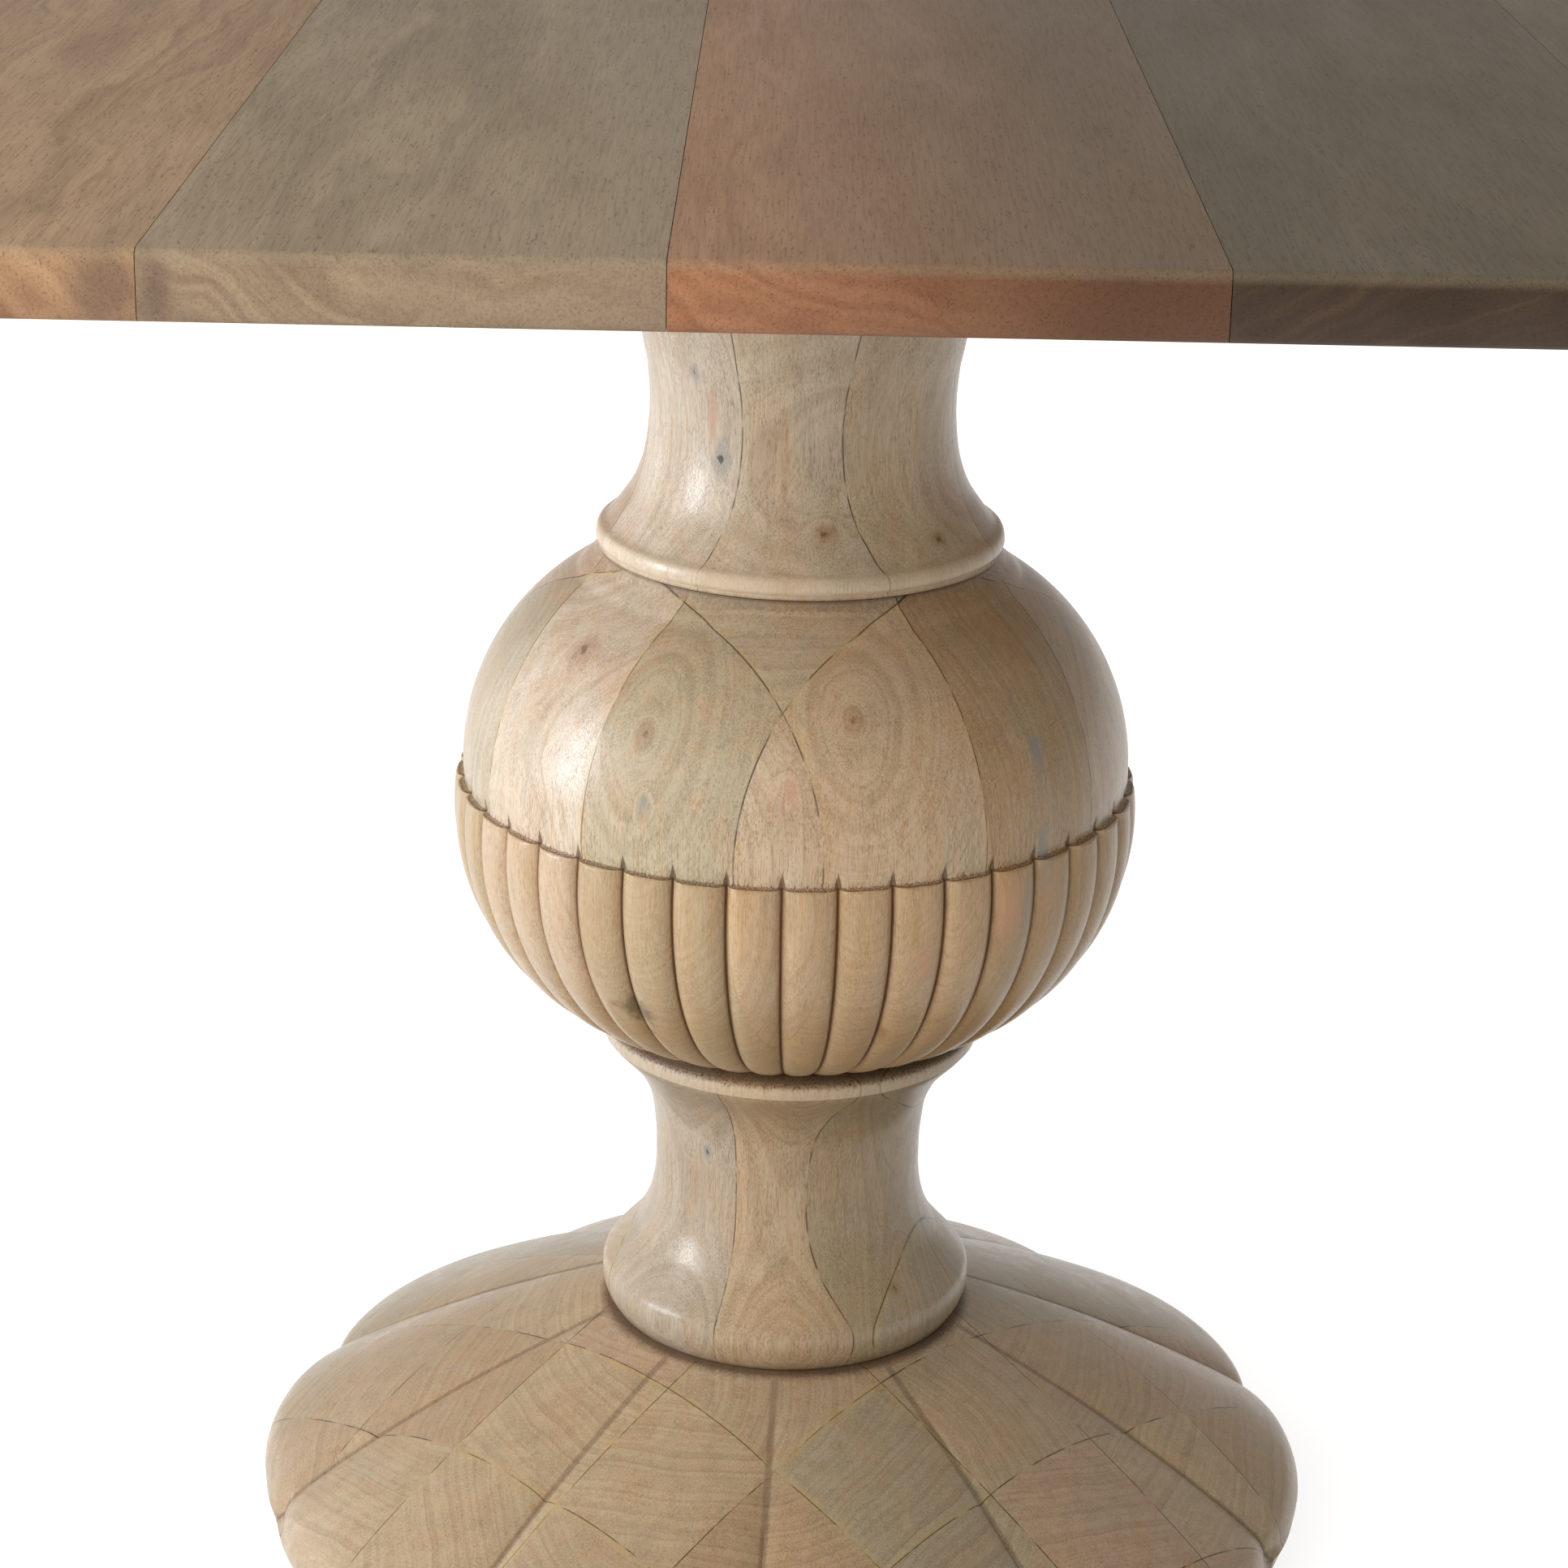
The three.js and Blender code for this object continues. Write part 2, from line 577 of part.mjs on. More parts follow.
function footSpots() {
  const spots = [];
  for (let i = 0; i < FOOT_COUNT; i += 1) {
    const angle = ((i + 0.5) * Math.PI * 2) / FOOT_COUNT;
    spots.push([FOOT_CIRCLE_RADIUS * Math.sin(angle), -FOOT_CIRCLE_RADIUS * Math.cos(angle)]);
  }
  return spots;
}

function stemHoles(from, to) {
  return footSpots().map(([x, y]) => upright(FOOT_STEM_RADIUS + FIT_GAP, from, to)
    .translate(x, y, 0));
}

function base() {
  const height = BASE_HEIGHT;
  const rim = BASE_RADIUS;
  const seat = BASE_SEAT_RADIUS;
  const profile = new THREE.Path();
  profile.moveTo(rim - BASE_RIM_SETBACK, 0);
  profile.bezierCurveTo(rim, 3, rim + 1, 10, rim - BASE_RIM_SETBACK, BASE_RIM_HEIGHT);
  profile.lineTo(rim - BASE_BROW_SETBACK, BASE_BROW_HEIGHT);
  profile.bezierCurveTo(rim - BASE_SWEEP_SETBACK, BASE_SWEEP_HEIGHT,
    seat + BASE_SEAT_SWEEP, height - BASE_SEAT_EASE, seat + BASE_SEAT_LIP, height);
  profile.lineTo(seat - BASE_SEAT_LIP, height);
  const facets = LOBE_COUNT * FACETS_PER_LOBE;
  const blank = turned(bored(profile.getPoints(4), ROD_BORE_RADIUS), facets, LOBE_PHASE);
  const carved = carve(blank, (radius, z, angle) => {
    const run = THREE.MathUtils.clamp((radius - seat - 5) / (rim - seat), 0, 1);
    const depth = LOBE_DEPTH * Math.sqrt(run) * ridge(angle, LOBE_PHASE, LOBE_COUNT);
    return Math.min(depth, Math.max(0, z));
  });
  const recess = upright(WASHER_RADIUS + WRENCH_ROOM, -1, BASE_RECESS_DEPTH);
  const stemReach = plinthBottom + FOOT_STEM_LENGTH + SEAT_GAP - baseBottom;
  return cut(carved, [recess, dowelHole(0, height), ...stemHoles(-1, stemReach)]);
}

function plinth() {
  const profile = new THREE.Path();
  const edge = PLINTH_RADIUS - PLINTH_ROUNDING;
  profile.moveTo(edge, 0);
  profile.absarc(edge, PLINTH_ROUNDING, PLINTH_ROUNDING, -Math.PI / 2, 0, false);
  profile.lineTo(PLINTH_RADIUS, PLINTH_HEIGHT);
  const blank = turned(bored(profile.getPoints(1), PLINTH_HOLE_RADIUS));
  const inserts = footSpots().map(([x, y]) => upright(INSERT_RADIUS + FIT_GAP, -1,
    INSERT_HEIGHT + FIT_GAP).translate(x, y, 0));
  return cut(blank, [...inserts, ...stemHoles(0, PLINTH_HEIGHT + 1)]);
}

function addPedestal() {
  place('upper_column', upperColumn(), PEDESTAL_WOOD, [0, 0, upperBottom]);
  place('fluted_globe', globe(), PEDESTAL_WOOD, [0, 0, globeBottom]);
  place('lower_column', lowerColumn(), PEDESTAL_WOOD, [0, 0, lowerBottom]);
  place('carved_base', base(), PEDESTAL_WOOD, [0, 0, baseBottom]);
  place('plinth_disc', plinth(), PEDESTAL_WOOD, [0, 0, plinthBottom]);
}

// ---------- tie rod ----------

function addTieRod() {
  const lowerWasher = baseBottom + BASE_RECESS_DEPTH - SEAT_GAP - WASHER_THICKNESS;
  const lowerNut = lowerWasher - SEAT_GAP - NUT_HEIGHT;
  const upperNut = topUnderside - SEAT_GAP - ROD_END - NUT_HEIGHT;
  const upperWasher = upperNut - SEAT_GAP - WASHER_THICKNESS;
  place('tie_rod', upright(ROD_RADIUS, lowerNut - ROD_END, topUnderside - SEAT_GAP - 1), STEEL);
  place('lower_washer', washerShape(), STEEL, [0, 0, lowerWasher]);
  place('lower_nut', nutShape(), STEEL, [0, 0, lowerNut]);
  place('upper_washer', washerShape(), STEEL, [0, 0, upperWasher]);
  place('upper_nut', nutShape(), STEEL, [0, 0, upperNut]);
}

// ---------- levelling feet ----------

function footPad() {
  const edge = FOOT_PAD_RADIUS - FOOT_PAD_ROUNDING;
  const profile = new THREE.Path();
  profile.moveTo(0, 0);
  profile.lineTo(edge, 0);
  profile.absarc(edge, FOOT_PAD_ROUNDING, FOOT_PAD_ROUNDING, -Math.PI / 2, 0, false);
  profile.lineTo(FOOT_PAD_RADIUS - FOOT_PAD_SHOULDER, FOOT_PAD_HEIGHT);
  profile.lineTo(0, FOOT_PAD_HEIGHT);
  const socket = upright(FOOT_SPIGOT_RADIUS + THREAD_GAP,
    FOOT_PAD_HEIGHT - FOOT_SPIGOT_LENGTH - SEAT_GAP, FOOT_PAD_HEIGHT + 1, FOOT_FACETS);
  return cut(turned(profile.getPoints(1), FOOT_FACETS), [socket]);
}

// The stem's height 0 is at the pad's top face.
function footStem() {
  const collarTop = SEAT_GAP + FOOT_COLLAR_HEIGHT;
  return turned([
    new THREE.Vector2(0, -FOOT_SPIGOT_LENGTH),
    new THREE.Vector2(FOOT_SPIGOT_RADIUS, -FOOT_SPIGOT_LENGTH),
    new THREE.Vector2(FOOT_SPIGOT_RADIUS, SEAT_GAP),
    new THREE.Vector2(FOOT_COLLAR_RADIUS, SEAT_GAP),
    new THREE.Vector2(FOOT_COLLAR_RADIUS, collarTop),
    new THREE.Vector2(FOOT_STEM_RADIUS, collarTop),
    new THREE.Vector2(FOOT_STEM_RADIUS, collarTop + FOOT_STEM_LENGTH - 1),
    new THREE.Vector2(FOOT_STEM_RADIUS - 1, collarTop + FOOT_STEM_LENGTH),
    new THREE.Vector2(0, collarTop + FOOT_STEM_LENGTH),
  ], FOOT_FACETS);
}

function footInsert() {
  const sleeve = upright(INSERT_RADIUS, 0, INSERT_HEIGHT);
  return cut(sleeve, [upright(FOOT_STEM_RADIUS + THREAD_GAP, -1, INSERT_HEIGHT + 1,
    FOOT_FACETS)]);
}

function addFeet() {
  footSpots().forEach(([x, y], i) => {
    place(`foot_pad_${i + 1}`, footPad(), NYLON, [x, y, 0]);
    place(`foot_stem_${i + 1}`, footStem(), STEEL, [x, y, FOOT_PAD_HEIGHT]);
    place(`foot_insert_${i + 1}`, footInsert(), BRASS, [x, y, plinthBottom]);
  });
}

addTop();
addCleats();
addBearers();
addPedestal();
addDowels();
addTieRod();
addFeet();

export default group;
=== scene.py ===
"""Square dining table on one turned and carved pedestal: surfaces, finishes, light and camera."""

import math

import bpy
from mathutils import Matrix, Vector


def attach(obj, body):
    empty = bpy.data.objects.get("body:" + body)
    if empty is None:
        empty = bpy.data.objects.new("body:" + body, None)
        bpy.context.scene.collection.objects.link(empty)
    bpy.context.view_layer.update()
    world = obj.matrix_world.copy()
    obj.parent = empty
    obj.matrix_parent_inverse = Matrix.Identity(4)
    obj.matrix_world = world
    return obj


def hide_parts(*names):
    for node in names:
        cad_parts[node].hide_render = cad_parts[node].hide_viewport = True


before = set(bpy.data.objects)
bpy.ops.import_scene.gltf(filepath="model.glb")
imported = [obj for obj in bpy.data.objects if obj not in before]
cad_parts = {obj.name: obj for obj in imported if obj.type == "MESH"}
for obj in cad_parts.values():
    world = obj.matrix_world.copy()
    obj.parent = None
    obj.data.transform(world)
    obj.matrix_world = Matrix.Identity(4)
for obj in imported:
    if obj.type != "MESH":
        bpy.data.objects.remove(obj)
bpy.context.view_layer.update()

bpy.ops.object.select_all(action="DESELECT")

MM = 0.001

# The turner's levels, in mm above the floor.
PLINTH_FOOT, PLINTH_HEAD = 11.6, 25.6
BASE_FOOT, BASE_HEAD = 25.9, 126.9
LOWER_FOOT, LOWER_HEAD = 127.2, 280.2
GLOBE_FOOT, GLOBE_HEAD = 280.7, 517
UPPER_FOOT, UPPER_HEAD = 517.3, 701.4
STEP = 404.5          # where the smooth half of the globe meets the flutes

# The carver's division of the globe and the base, and where the first groove stands.
FLUTES, FLUTE_PHASE = 40, math.radians(-1.9)
PETALS, PETAL_PHASE = 10, math.radians(-2.5)

# Holes in mm: radius, with the depth or the level that it goes to, and the circle on which the
# four levelling feet stand.
ROD_BORE, PLINTH_BORE = 10, 40
NUT_RECESS, NUT_RECESS_DEPTH = 28, 34
STEM_HOLE, STEM_HOLE_TOP = 5.2, 47.8
INSERT_HOLE, INSERT_HOLE_TOP = 8.2, 23.8
FOOT_CIRCLE = 205

ROUND = 192           # facets of a smooth turned piece
WELD = 0.03           # mm within which two points of a turned piece are one
NEAR = 1.5            # mm within which a point is taken to lie on an open end


# ---------- turning ----------

def faired(stations, spacing=1.6):
    """Points on a smooth curve through a turner's stations, each (radius, height)."""
    ends = [stations[0], *stations, stations[-1]]
    curve = [stations[0]]
    for a, b, c, d in zip(ends, ends[1:], ends[2:], ends[3:]):
        pieces = max(1, round(math.dist(b, c) / spacing))
        for i in range(1, pieces + 1):
            t = i / pieces
            curve.append(tuple(
                0.5 * (2 * q + (r - p) * t + (2 * p - 5 * q + 4 * r - s) * t * t
                       + (3 * q - p - 3 * r + s) * t ** 3)
                for p, q, r, s in zip(a, b, c, d)))
    return curve


def swept(middle, radius, low, high, spacing=2.6):
    """Points on an arc round middle, from one height to the other."""
    start = math.asin((low - middle[1]) / radius)
    end = math.asin((high - middle[1]) / radius)
    pieces = max(1, round(abs(end - start) * radius / spacing))
    angles = [start + (end - start) * i / pieces for i in range(pieces + 1)]
    return [(middle[0] + radius * math.cos(a), middle[1] + radius * math.sin(a)) for a in angles]


def pick(piece):
    """Leaves this piece alone selected, and active."""
    bpy.ops.object.select_all(action="DESELECT")
    piece.select_set(True)
    bpy.context.view_layer.objects.active = piece


def turn(name, side, facets=ROUND):
    """Draws the side of a turned piece, bottom to top, as one line and spins it round the rod. The
    line starts from a small square merged to a point."""
    radius, low = side[0]
    bpy.ops.mesh.primitive_plane_add(size=2 * MM, location=(radius * MM, 0, low * MM))
    piece = bpy.context.object
    piece.name = piece.data.name = name
    bpy.ops.object.transform_apply(location=True, rotation=True, scale=True)
    bpy.ops.object.mode_set(mode="EDIT")
    bpy.ops.mesh.select_mode(type="VERT")
    bpy.ops.mesh.select_all(action="SELECT")
    bpy.ops.mesh.merge(type="CENTER")
    for (r0, z0), (r1, z1) in zip(side, side[1:]):
        bpy.ops.mesh.extrude_region_move(
            TRANSFORM_OT_translate={"value": ((r1 - r0) * MM, 0, (z1 - z0) * MM)})
    bpy.ops.mesh.select_all(action="SELECT")
    bpy.ops.mesh.spin(steps=facets, angle=2 * math.pi, center=(0, 0, 0), axis=(0, 0, 1))
    bpy.ops.mesh.select_all(action="SELECT")
    bpy.ops.mesh.remove_doubles(threshold=WELD * MM)
    bpy.ops.mesh.select_all(action="SELECT")
    bpy.ops.mesh.normals_make_consistent(inside=False)
    bpy.ops.object.mode_set(mode="OBJECT")
    return piece


def carve(piece, phase, depth_at, deepest=8):
    """Sinks each spot of a turned side by depth_at(angle, radius, height), in mm and at most
    deepest, with the facets turned first to meet the groove that stands at phase."""
    piece.data.transform(Matrix.Rotation(phase - math.pi / 2, 4, "Z"))
    group = piece.vertex_groups.new(name="carving")
    for spot in piece.data.vertices:
        x, y, z = spot.co / MM
        depth = depth_at(math.atan2(x, -y), math.hypot(x, y), z)
        if depth > 0:
            group.add([spot.index], min(1, depth / deepest), "REPLACE")
    chisel = piece.modifiers.new("carving", "DISPLACE")
    chisel.direction = "NORMAL"
    chisel.mid_level = 0
    chisel.strength = -deepest * MM
    chisel.vertex_group = group.name
    pick(piece)
    bpy.ops.object.modifier_apply(modifier=chisel.name)
    piece.vertex_groups.clear()


def select_ring(piece, wanted):
    """Selects the edge vertices of an open turned piece for which wanted(radius, height) holds."""
    bpy.ops.object.mode_set(mode="EDIT")
    bpy.ops.mesh.select_all(action="DESELECT")
    bpy.ops.mesh.select_non_manifold(extend=False, use_wire=False, use_multi_face=False,
                                     use_non_contiguous=False, use_verts=False)
    bpy.ops.object.mode_set(mode="OBJECT")
    for spot in piece.data.vertices:
        x, y, z = spot.co / MM
        spot.select = spot.select and wanted(math.hypot(x, y), z)
    bpy.ops.object.mode_set(mode="EDIT")


def close_in(piece, level, radius, inner, depth=0):
    """Runs one open end in to a smaller radius, then along the rod by depth."""
    select_ring(piece, lambda r, z: abs(z - level) < NEAR)
    bpy.ops.mesh.extrude_region_move()
    bpy.ops.transform.resize(value=(inner / radius, inner / radius, 1), center_override=(0, 0, 0))
    if depth:
        bpy.ops.mesh.extrude_region_move(TRANSFORM_OT_translate={"value": (0, 0, depth * MM)})
    bpy.ops.object.mode_set(mode="OBJECT")


def bore(piece, side, radius=ROD_BORE, recess=None):
    """Faces both ends of a turned piece and bores it through. recess is the (radius, depth) of a
    wider hole from below."""
    (low_radius, low), (high_radius, high) = side[0], side[-1]
    if recess:
        wide, depth = recess
        close_in(piece, low, low_radius, wide, depth)
        low_radius, low = wide, low + depth
    close_in(piece, low, low_radius, radius)
    close_in(piece, high, high_radius, radius)
    select_ring(piece, lambda r, z: r < radius + NEAR)
    bpy.ops.mesh.bridge_edge_loops()
    bpy.ops.mesh.select_all(action="SELECT")
    bpy.ops.mesh.normals_make_consistent(inside=False)
    bpy.ops.object.mode_set(mode="OBJECT")


def drill(piece, radius, low, high):
    """Cuts the hole of each levelling foot, straight up the piece. low may be below its face."""
    bpy.ops.object.select_all(action="DESELECT")
    bits = []
    for quarter in range(4):
        a = math.pi / 4 + quarter * math.pi / 2
        x, y = FOOT_CIRCLE * math.sin(a), -FOOT_CIRCLE * math.cos(a)
        bpy.ops.mesh.primitive_cylinder_add(
            vertices=32, radius=radius * MM, depth=(high - low) * MM,
            location=(x * MM, y * MM, (low + high) / 2 * MM))
        bits.append(bpy.context.object)
    for bit in bits:
        bit.select_set(True)
    bpy.ops.object.join()
    bit = bpy.context.object
    hole = piece.modifiers.new("hole", "BOOLEAN")
    hole.operation = "DIFFERENCE"
    hole.solver = "EXACT"
    hole.object = bit
    pick(piece)
    bpy.ops.object.modifier_apply(modifier=hole.name)
    bpy.data.objects.remove(bit)


def sanded(piece, degrees=38):
    """Smooth to the light, with a crisp line wherever two cuts meet at more than the angle."""
    pick(piece)
    bpy.ops.object.shade_smooth_by_angle(angle=math.radians(degrees))
    piece.select_set(False)


def belongs(piece, node):
    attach(piece, "table")
    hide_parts(node)


def across_lobe(angle, count, phase):
    """0 on the crest of a lobe, 1 in the groove beside it."""
    lobes = (angle - phase) / (2 * math.pi) * count
    return abs(2 * (lobes - math.floor(lobes)) - 1)


def fallen(share, fullness):
    """How far a lobe's rounded side has dropped, 0 on the crest and 1 in the groove. The fuller the
    lobe, the later it drops."""
    return 1 - (1 - share ** fullness) ** (1 / 1.5)


def upper_column():
    foot = [(92, UPPER_FOOT), (93.7, 517.5), (94.5, 518), (94.7, 518.6), (94.3, 519.2),
            (94.1, 519.5)]
    bead_and_flare = faired([
        (94.1, 519.5), (95.1, 520.6), (95.6, 522), (95.5, 524), (95.1, 525.8), (94.4, 527.2),
        (93.5, 528), (92.4, 528.5), (90.8, 529.6), (88.6, 532), (84.8, 537), (79.4, 545),
        (75.8, 553), (73.2, 562), (71.6, 573), (70.9, 587), (72, 603), (73.9, 613), (77.2, 630),
        (81.8, 647), (87, 664), (92.6, 680), (95, 686)])
    head = [(95.3, 687.2), (97.2, 687.6), (98, 688.6), (98, 700.6), (97.4, UPPER_HEAD)]
    side = foot + bead_and_flare[1:] + head
    piece = turn("upper_column_turned", side)
    bore(piece, side)
    sanded(piece)
    belongs(piece, "upper_column")
    return piece


def globe():
    crown = [(79, GLOBE_FOOT), (82.4, 281.8), (86.4, 283.4)]
    fluted = swept((50.6, 389.5), 112, 285, 400.8)
    shoulder = [(161.9, 401.8), (161.8, 402.7), (161.8, 403.4), (161.8, 403.9), (161.8, 404.3),
                (161.9, 404.9), (161.9, 405.5), (161.8, 406.3)]
    smooth = swept((51.2, 412), 111, 407.4, 508)
    neck = faired([(106.9, 508), (102.3, 510.7), (97.8, 513), (94.7, 515.1), (93, GLOBE_HEAD)])
    side = crown + fluted + shoulder + smooth + neck[1:]

    # In mm: how deep the flutes are at the globe's widest and over what height they run in, how far
    # the smooth half stands inside them and over what height that runs out below the neck, and the
    # round on the flutes' upper edge. Then the V tool's overrun into the smooth half: how high it
    # goes, how deep it bites, and its width as a share of half a flute.
    flute_depth, widest, run_in = 4.8, 163, 7
    inset, run_out = 4, 8.5
    lip_radius = 2
    overrun_rise, overrun_depth, overrun_width = 8, 1.6, 0.2

    def depth_at(angle, radius, height):
        share = across_lobe(angle, FLUTES, FLUTE_PHASE)
        if height > STEP:
            overrun = (max(0, 1 - (height - STEP) / overrun_rise)
                       * max(0, 1 - (1 - share) / overrun_width))
            fade = min(1, max(0, (GLOBE_HEAD - 0.5 - height) / run_out))
            return (inset + overrun_depth * overrun) * fade
        full = flute_depth * min(1, radius / widest) * min(1, (height - GLOBE_FOOT + 0.1) / run_in)
        below = STEP - height
        lip = 0
        if below < lip_radius:
            lip = lip_radius - math.sqrt(max(0, lip_radius ** 2 - (lip_radius - below) ** 2))
        return max(full * fallen(share, 2.7), lip)

    piece = turn("fluted_globe_carved", side, FLUTES * 14)
    carve(piece, FLUTE_PHASE, depth_at)
    bore(piece, side)
    sanded(piece, 30)
    belongs(piece, "fluted_globe")
    return piece


def lower_column():
    side = faired([
        (84.6, 127.3), (86.4, 129.2), (89.2, 134), (90.8, 139.5), (91, 144.5), (90, 149),
        (87.6, 152), (82.2, 158), (77, 164), (73, 169.7), (68.7, 179), (66.1, 189), (64.9, 199),
        (64.8, 209), (65.1, 220), (67.3, 237), (70.9, 247), (76.3, 256), (83.4, 264),
        (87.2, 267.8), (89.4, 270.4)])
    side += [(89.7, 271.2), (90.9, 272.2)]
    side += faired([(91.3, 274.4), (91.4, 277), (90.7, 279), (88.8, LOWER_HEAD)], 1)
    piece = turn("lower_column_turned", side)
    bore(piece, side)
    sanded(piece)
    belongs(piece, "lower_column")
    return piece


def base():
    side = faired([
        (257.4, 26.1), (260.6, 28.4), (262, 33.5), (260.6, 40), (255.4, 47.8), (240, 58.3),
        (218, 70.4), (198, 80.6), (164, 96.6), (130, 110.7), (104, 121), (94, 124.9),
        (90.6, 126.5)], 3)
    side.append((88, BASE_HEAD))
    petal_depth, neck, widest, run_in = 10, 90, 262, 6

    def depth_at(angle, radius, height):
        run = min(1, max(0, (radius - neck) / (widest - neck)))
        full = petal_depth * run ** 1.3 * min(1, (height - BASE_FOOT) / run_in)
        return full * fallen(across_lobe(angle, PETALS, PETAL_PHASE), 2.1)

    piece = turn("carved_base_petals", side, PETALS * 28)
    carve(piece, PETAL_PHASE, depth_at, 12)
    bore(piece, side, recess=(NUT_RECESS, NUT_RECESS_DEPTH))
    drill(piece, STEM_HOLE, 20, STEM_HOLE_TOP)
    sanded(piece, 30)
    belongs(piece, "carved_base")
    return piece


def plinth():
    side = faired([(246, PLINTH_FOOT), (248.6, 12.4), (249.8, 14.6), (250, 18)], 1)
    side += [(250, 25.1), (249.4, PLINTH_HEAD)]
    piece = turn("plinth_disc_turned", side)
    bore(piece, side, PLINTH_BORE)
    drill(piece, INSERT_HOLE, 5, INSERT_HOLE_TOP)
    drill(piece, STEM_HOLE, 20, 30)
    sanded(piece)
    belongs(piece, "plinth_disc")
    return piece


def plank(number):
    """A plank of the top: the joiner's solid, merged and smoothed."""
    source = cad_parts[f"top_plank_{number}"]
    piece = bpy.data.objects.new(f"plank_{number}_planed", source.data.copy())
    bpy.context.scene.collection.objects.link(piece)
    pick(piece)
    bpy.ops.mesh.customdata_custom_splitnormals_clear()
    bpy.ops.object.mode_set(mode="EDIT")
    bpy.ops.mesh.select_all(action="SELECT")
    bpy.ops.mesh.remove_doubles(threshold=0.01 * MM)
    bpy.ops.object.mode_set(mode="OBJECT")
    sanded(piece, 32)
    belongs(piece, f"top_plank_{number}")
    return piece


# ---------- finishes ----------

# How a coat takes: a wash covers what is under it, a stain darkens it.
WASH, STAIN = "MIX", "MULTIPLY"
# A range that is none of it at socket 1 and the whole at socket 2, with a soft rise between them.
SOFT = {"interpolation_type": "SMOOTHSTEP"}


def linear(code):
    """An sRGB hex colour as linear RGBA."""
    parts = [int(code[i:i + 2], 16) / 255 for i in (1, 3, 5)]
    return (*[p / 12.92 if p <= 0.04045 else ((p + 0.055) / 1.055) ** 2.4 for p in parts], 1)


def adder(tree):
    """One function that adds a node with its settings and links, and gives one of its outputs.

    Where names repeat, sockets go by number: MapRange has the value at 0, the range it comes from
    at 1 and 2 and the range it goes to, 0 to 1 unless set, at 3 and 4; Mix has the share at 0, two
    vectors at 4 and 5 and two colours at 6 and 7."""
    def add(kind, inputs=None, out=0, **settings):
        made = tree.nodes.new("ShaderNode" + kind)
        for key, value in settings.items():
            setattr(made, key, value)
        for key, value in (inputs or {}).items():
            if isinstance(value, bpy.types.NodeSocket):
                tree.links.new(value, made.inputs[key])
            else:
                made.inputs[key].default_value = value
        return made.outputs[out] if made.outputs else None
    return add


def new_finish(name):
    """An empty finish, the function that adds to it, and the place on the piece in mm."""
    finish = bpy.data.materials.new(name)
    finish.use_nodes = True
    finish.node_tree.nodes.clear()
    add = adder(finish.node_tree)
    place = add("VectorMath", {0: add("TexCoord", out=3), "Scale": 1 / MM}, operation="SCALE")
    return finish, add, place


def coated(add, colour, *coats):
    """A colour under its coats, from the first to the last: (WASH or STAIN, share of it, hex)."""
    for how, share, shade in coats:
        colour = add("Mix", {0: share, 6: colour, 7: linear(shade)}, out=2,
                     data_type="RGBA", blend_type=how)
    return colour


def figure(add, point, widths, detail=2.0, seed=0.0, roughness=0.5):
    """A pattern by chance whose marks measure about widths, in mm, along x, y and z."""
    placed = add("Mapping", {0: point, 1: (seed, seed * 1.7, -seed), 3: [1 / w for w in widths]},
                 vector_type="POINT")
    return add("TexNoise", {"Vector": placed, "Scale": 1.0, "Detail": detail,
                            "Roughness": roughness})


def grain_relief(add, pore, fibre):
    """Open pores below the surface, and the fibre a little above it."""
    raised = add("MapRange", {0: fibre, 1: 0.7, 2: 0.4, 4: 0.4}, **SOFT)
    return add("Math", {0: pore, 1: -1.0, 2: raised}, operation="MULTIPLY_ADD")


def lacquered(add, colour, shine, relief, depth, coat=0.16):
    """Satin lacquer over wood: shine is its roughness, relief what it doesn't fill, to depth mm."""
    bump = add("Bump", {"Strength": 0.35, "Distance": depth * MM, "Height": relief})
    skin = add("BsdfPrincipled", {"Base Color": colour, "Roughness": shine, "Normal": bump,
                                  "IOR": 1.47, "Coat Weight": coat, "Coat Roughness": 0.42})
    add("OutputMaterial", {"Surface": skin})


# Washed mango, turned and lacquered: pale beige tan with grey green and pink boards, fine dark
# pores 2 to 8 mm long, growth rings 2 to 4 mm apart and stain left wherever a cloth can't reach.
BEIGE, SAGE, PINK, TAN, CREAM = "#cab294", "#bdae94", "#cdb196", "#c6ab8a", "#d0b998"
RING_PITCH, PLANK_RING_PITCH = 3.4, 6.0
PATCH_RUN = 160       # mm that a patch on a plank's front edge runs back along the grain
OLD_STAIN = "#6e4f33"

# What marks the wood, by kind, as coats: (WASH or STAIN, where it has faded out, where it is whole,
# its strength, hex). Places are counted from the mark's middle in its own widths.
MARKS = {
    "orange": [(STAIN, 1.9, 0.3, 0.6, "#c9a26c"), (STAIN, 0.7, 0.05, 0.7, "#75603f")],
    "grey": [(WASH, 1.5, 0.4, 0.62, "#8b8a84"), (STAIN, 0.34, 0.06, 0.85, "#5b4a3e")],
    "eye": [(STAIN, 2.2, 0.3, 0.45, "#c29a72"), (STAIN, 0.5, 0.1, 0.6, "#8d6746")],
    "dark": [(STAIN, 1.3, 0.35, 0.92, "#463f3a")],
    "pin": [(STAIN, 1.0, 0.45, 0.85, "#4f3c2c")],
    "streak": [(WASH, 1.3, 0.5, 0.75, "#8b8a84")],
    "pink": [(WASH, 1.6, 0.3, 0.6, "#cf9a7c")],
}


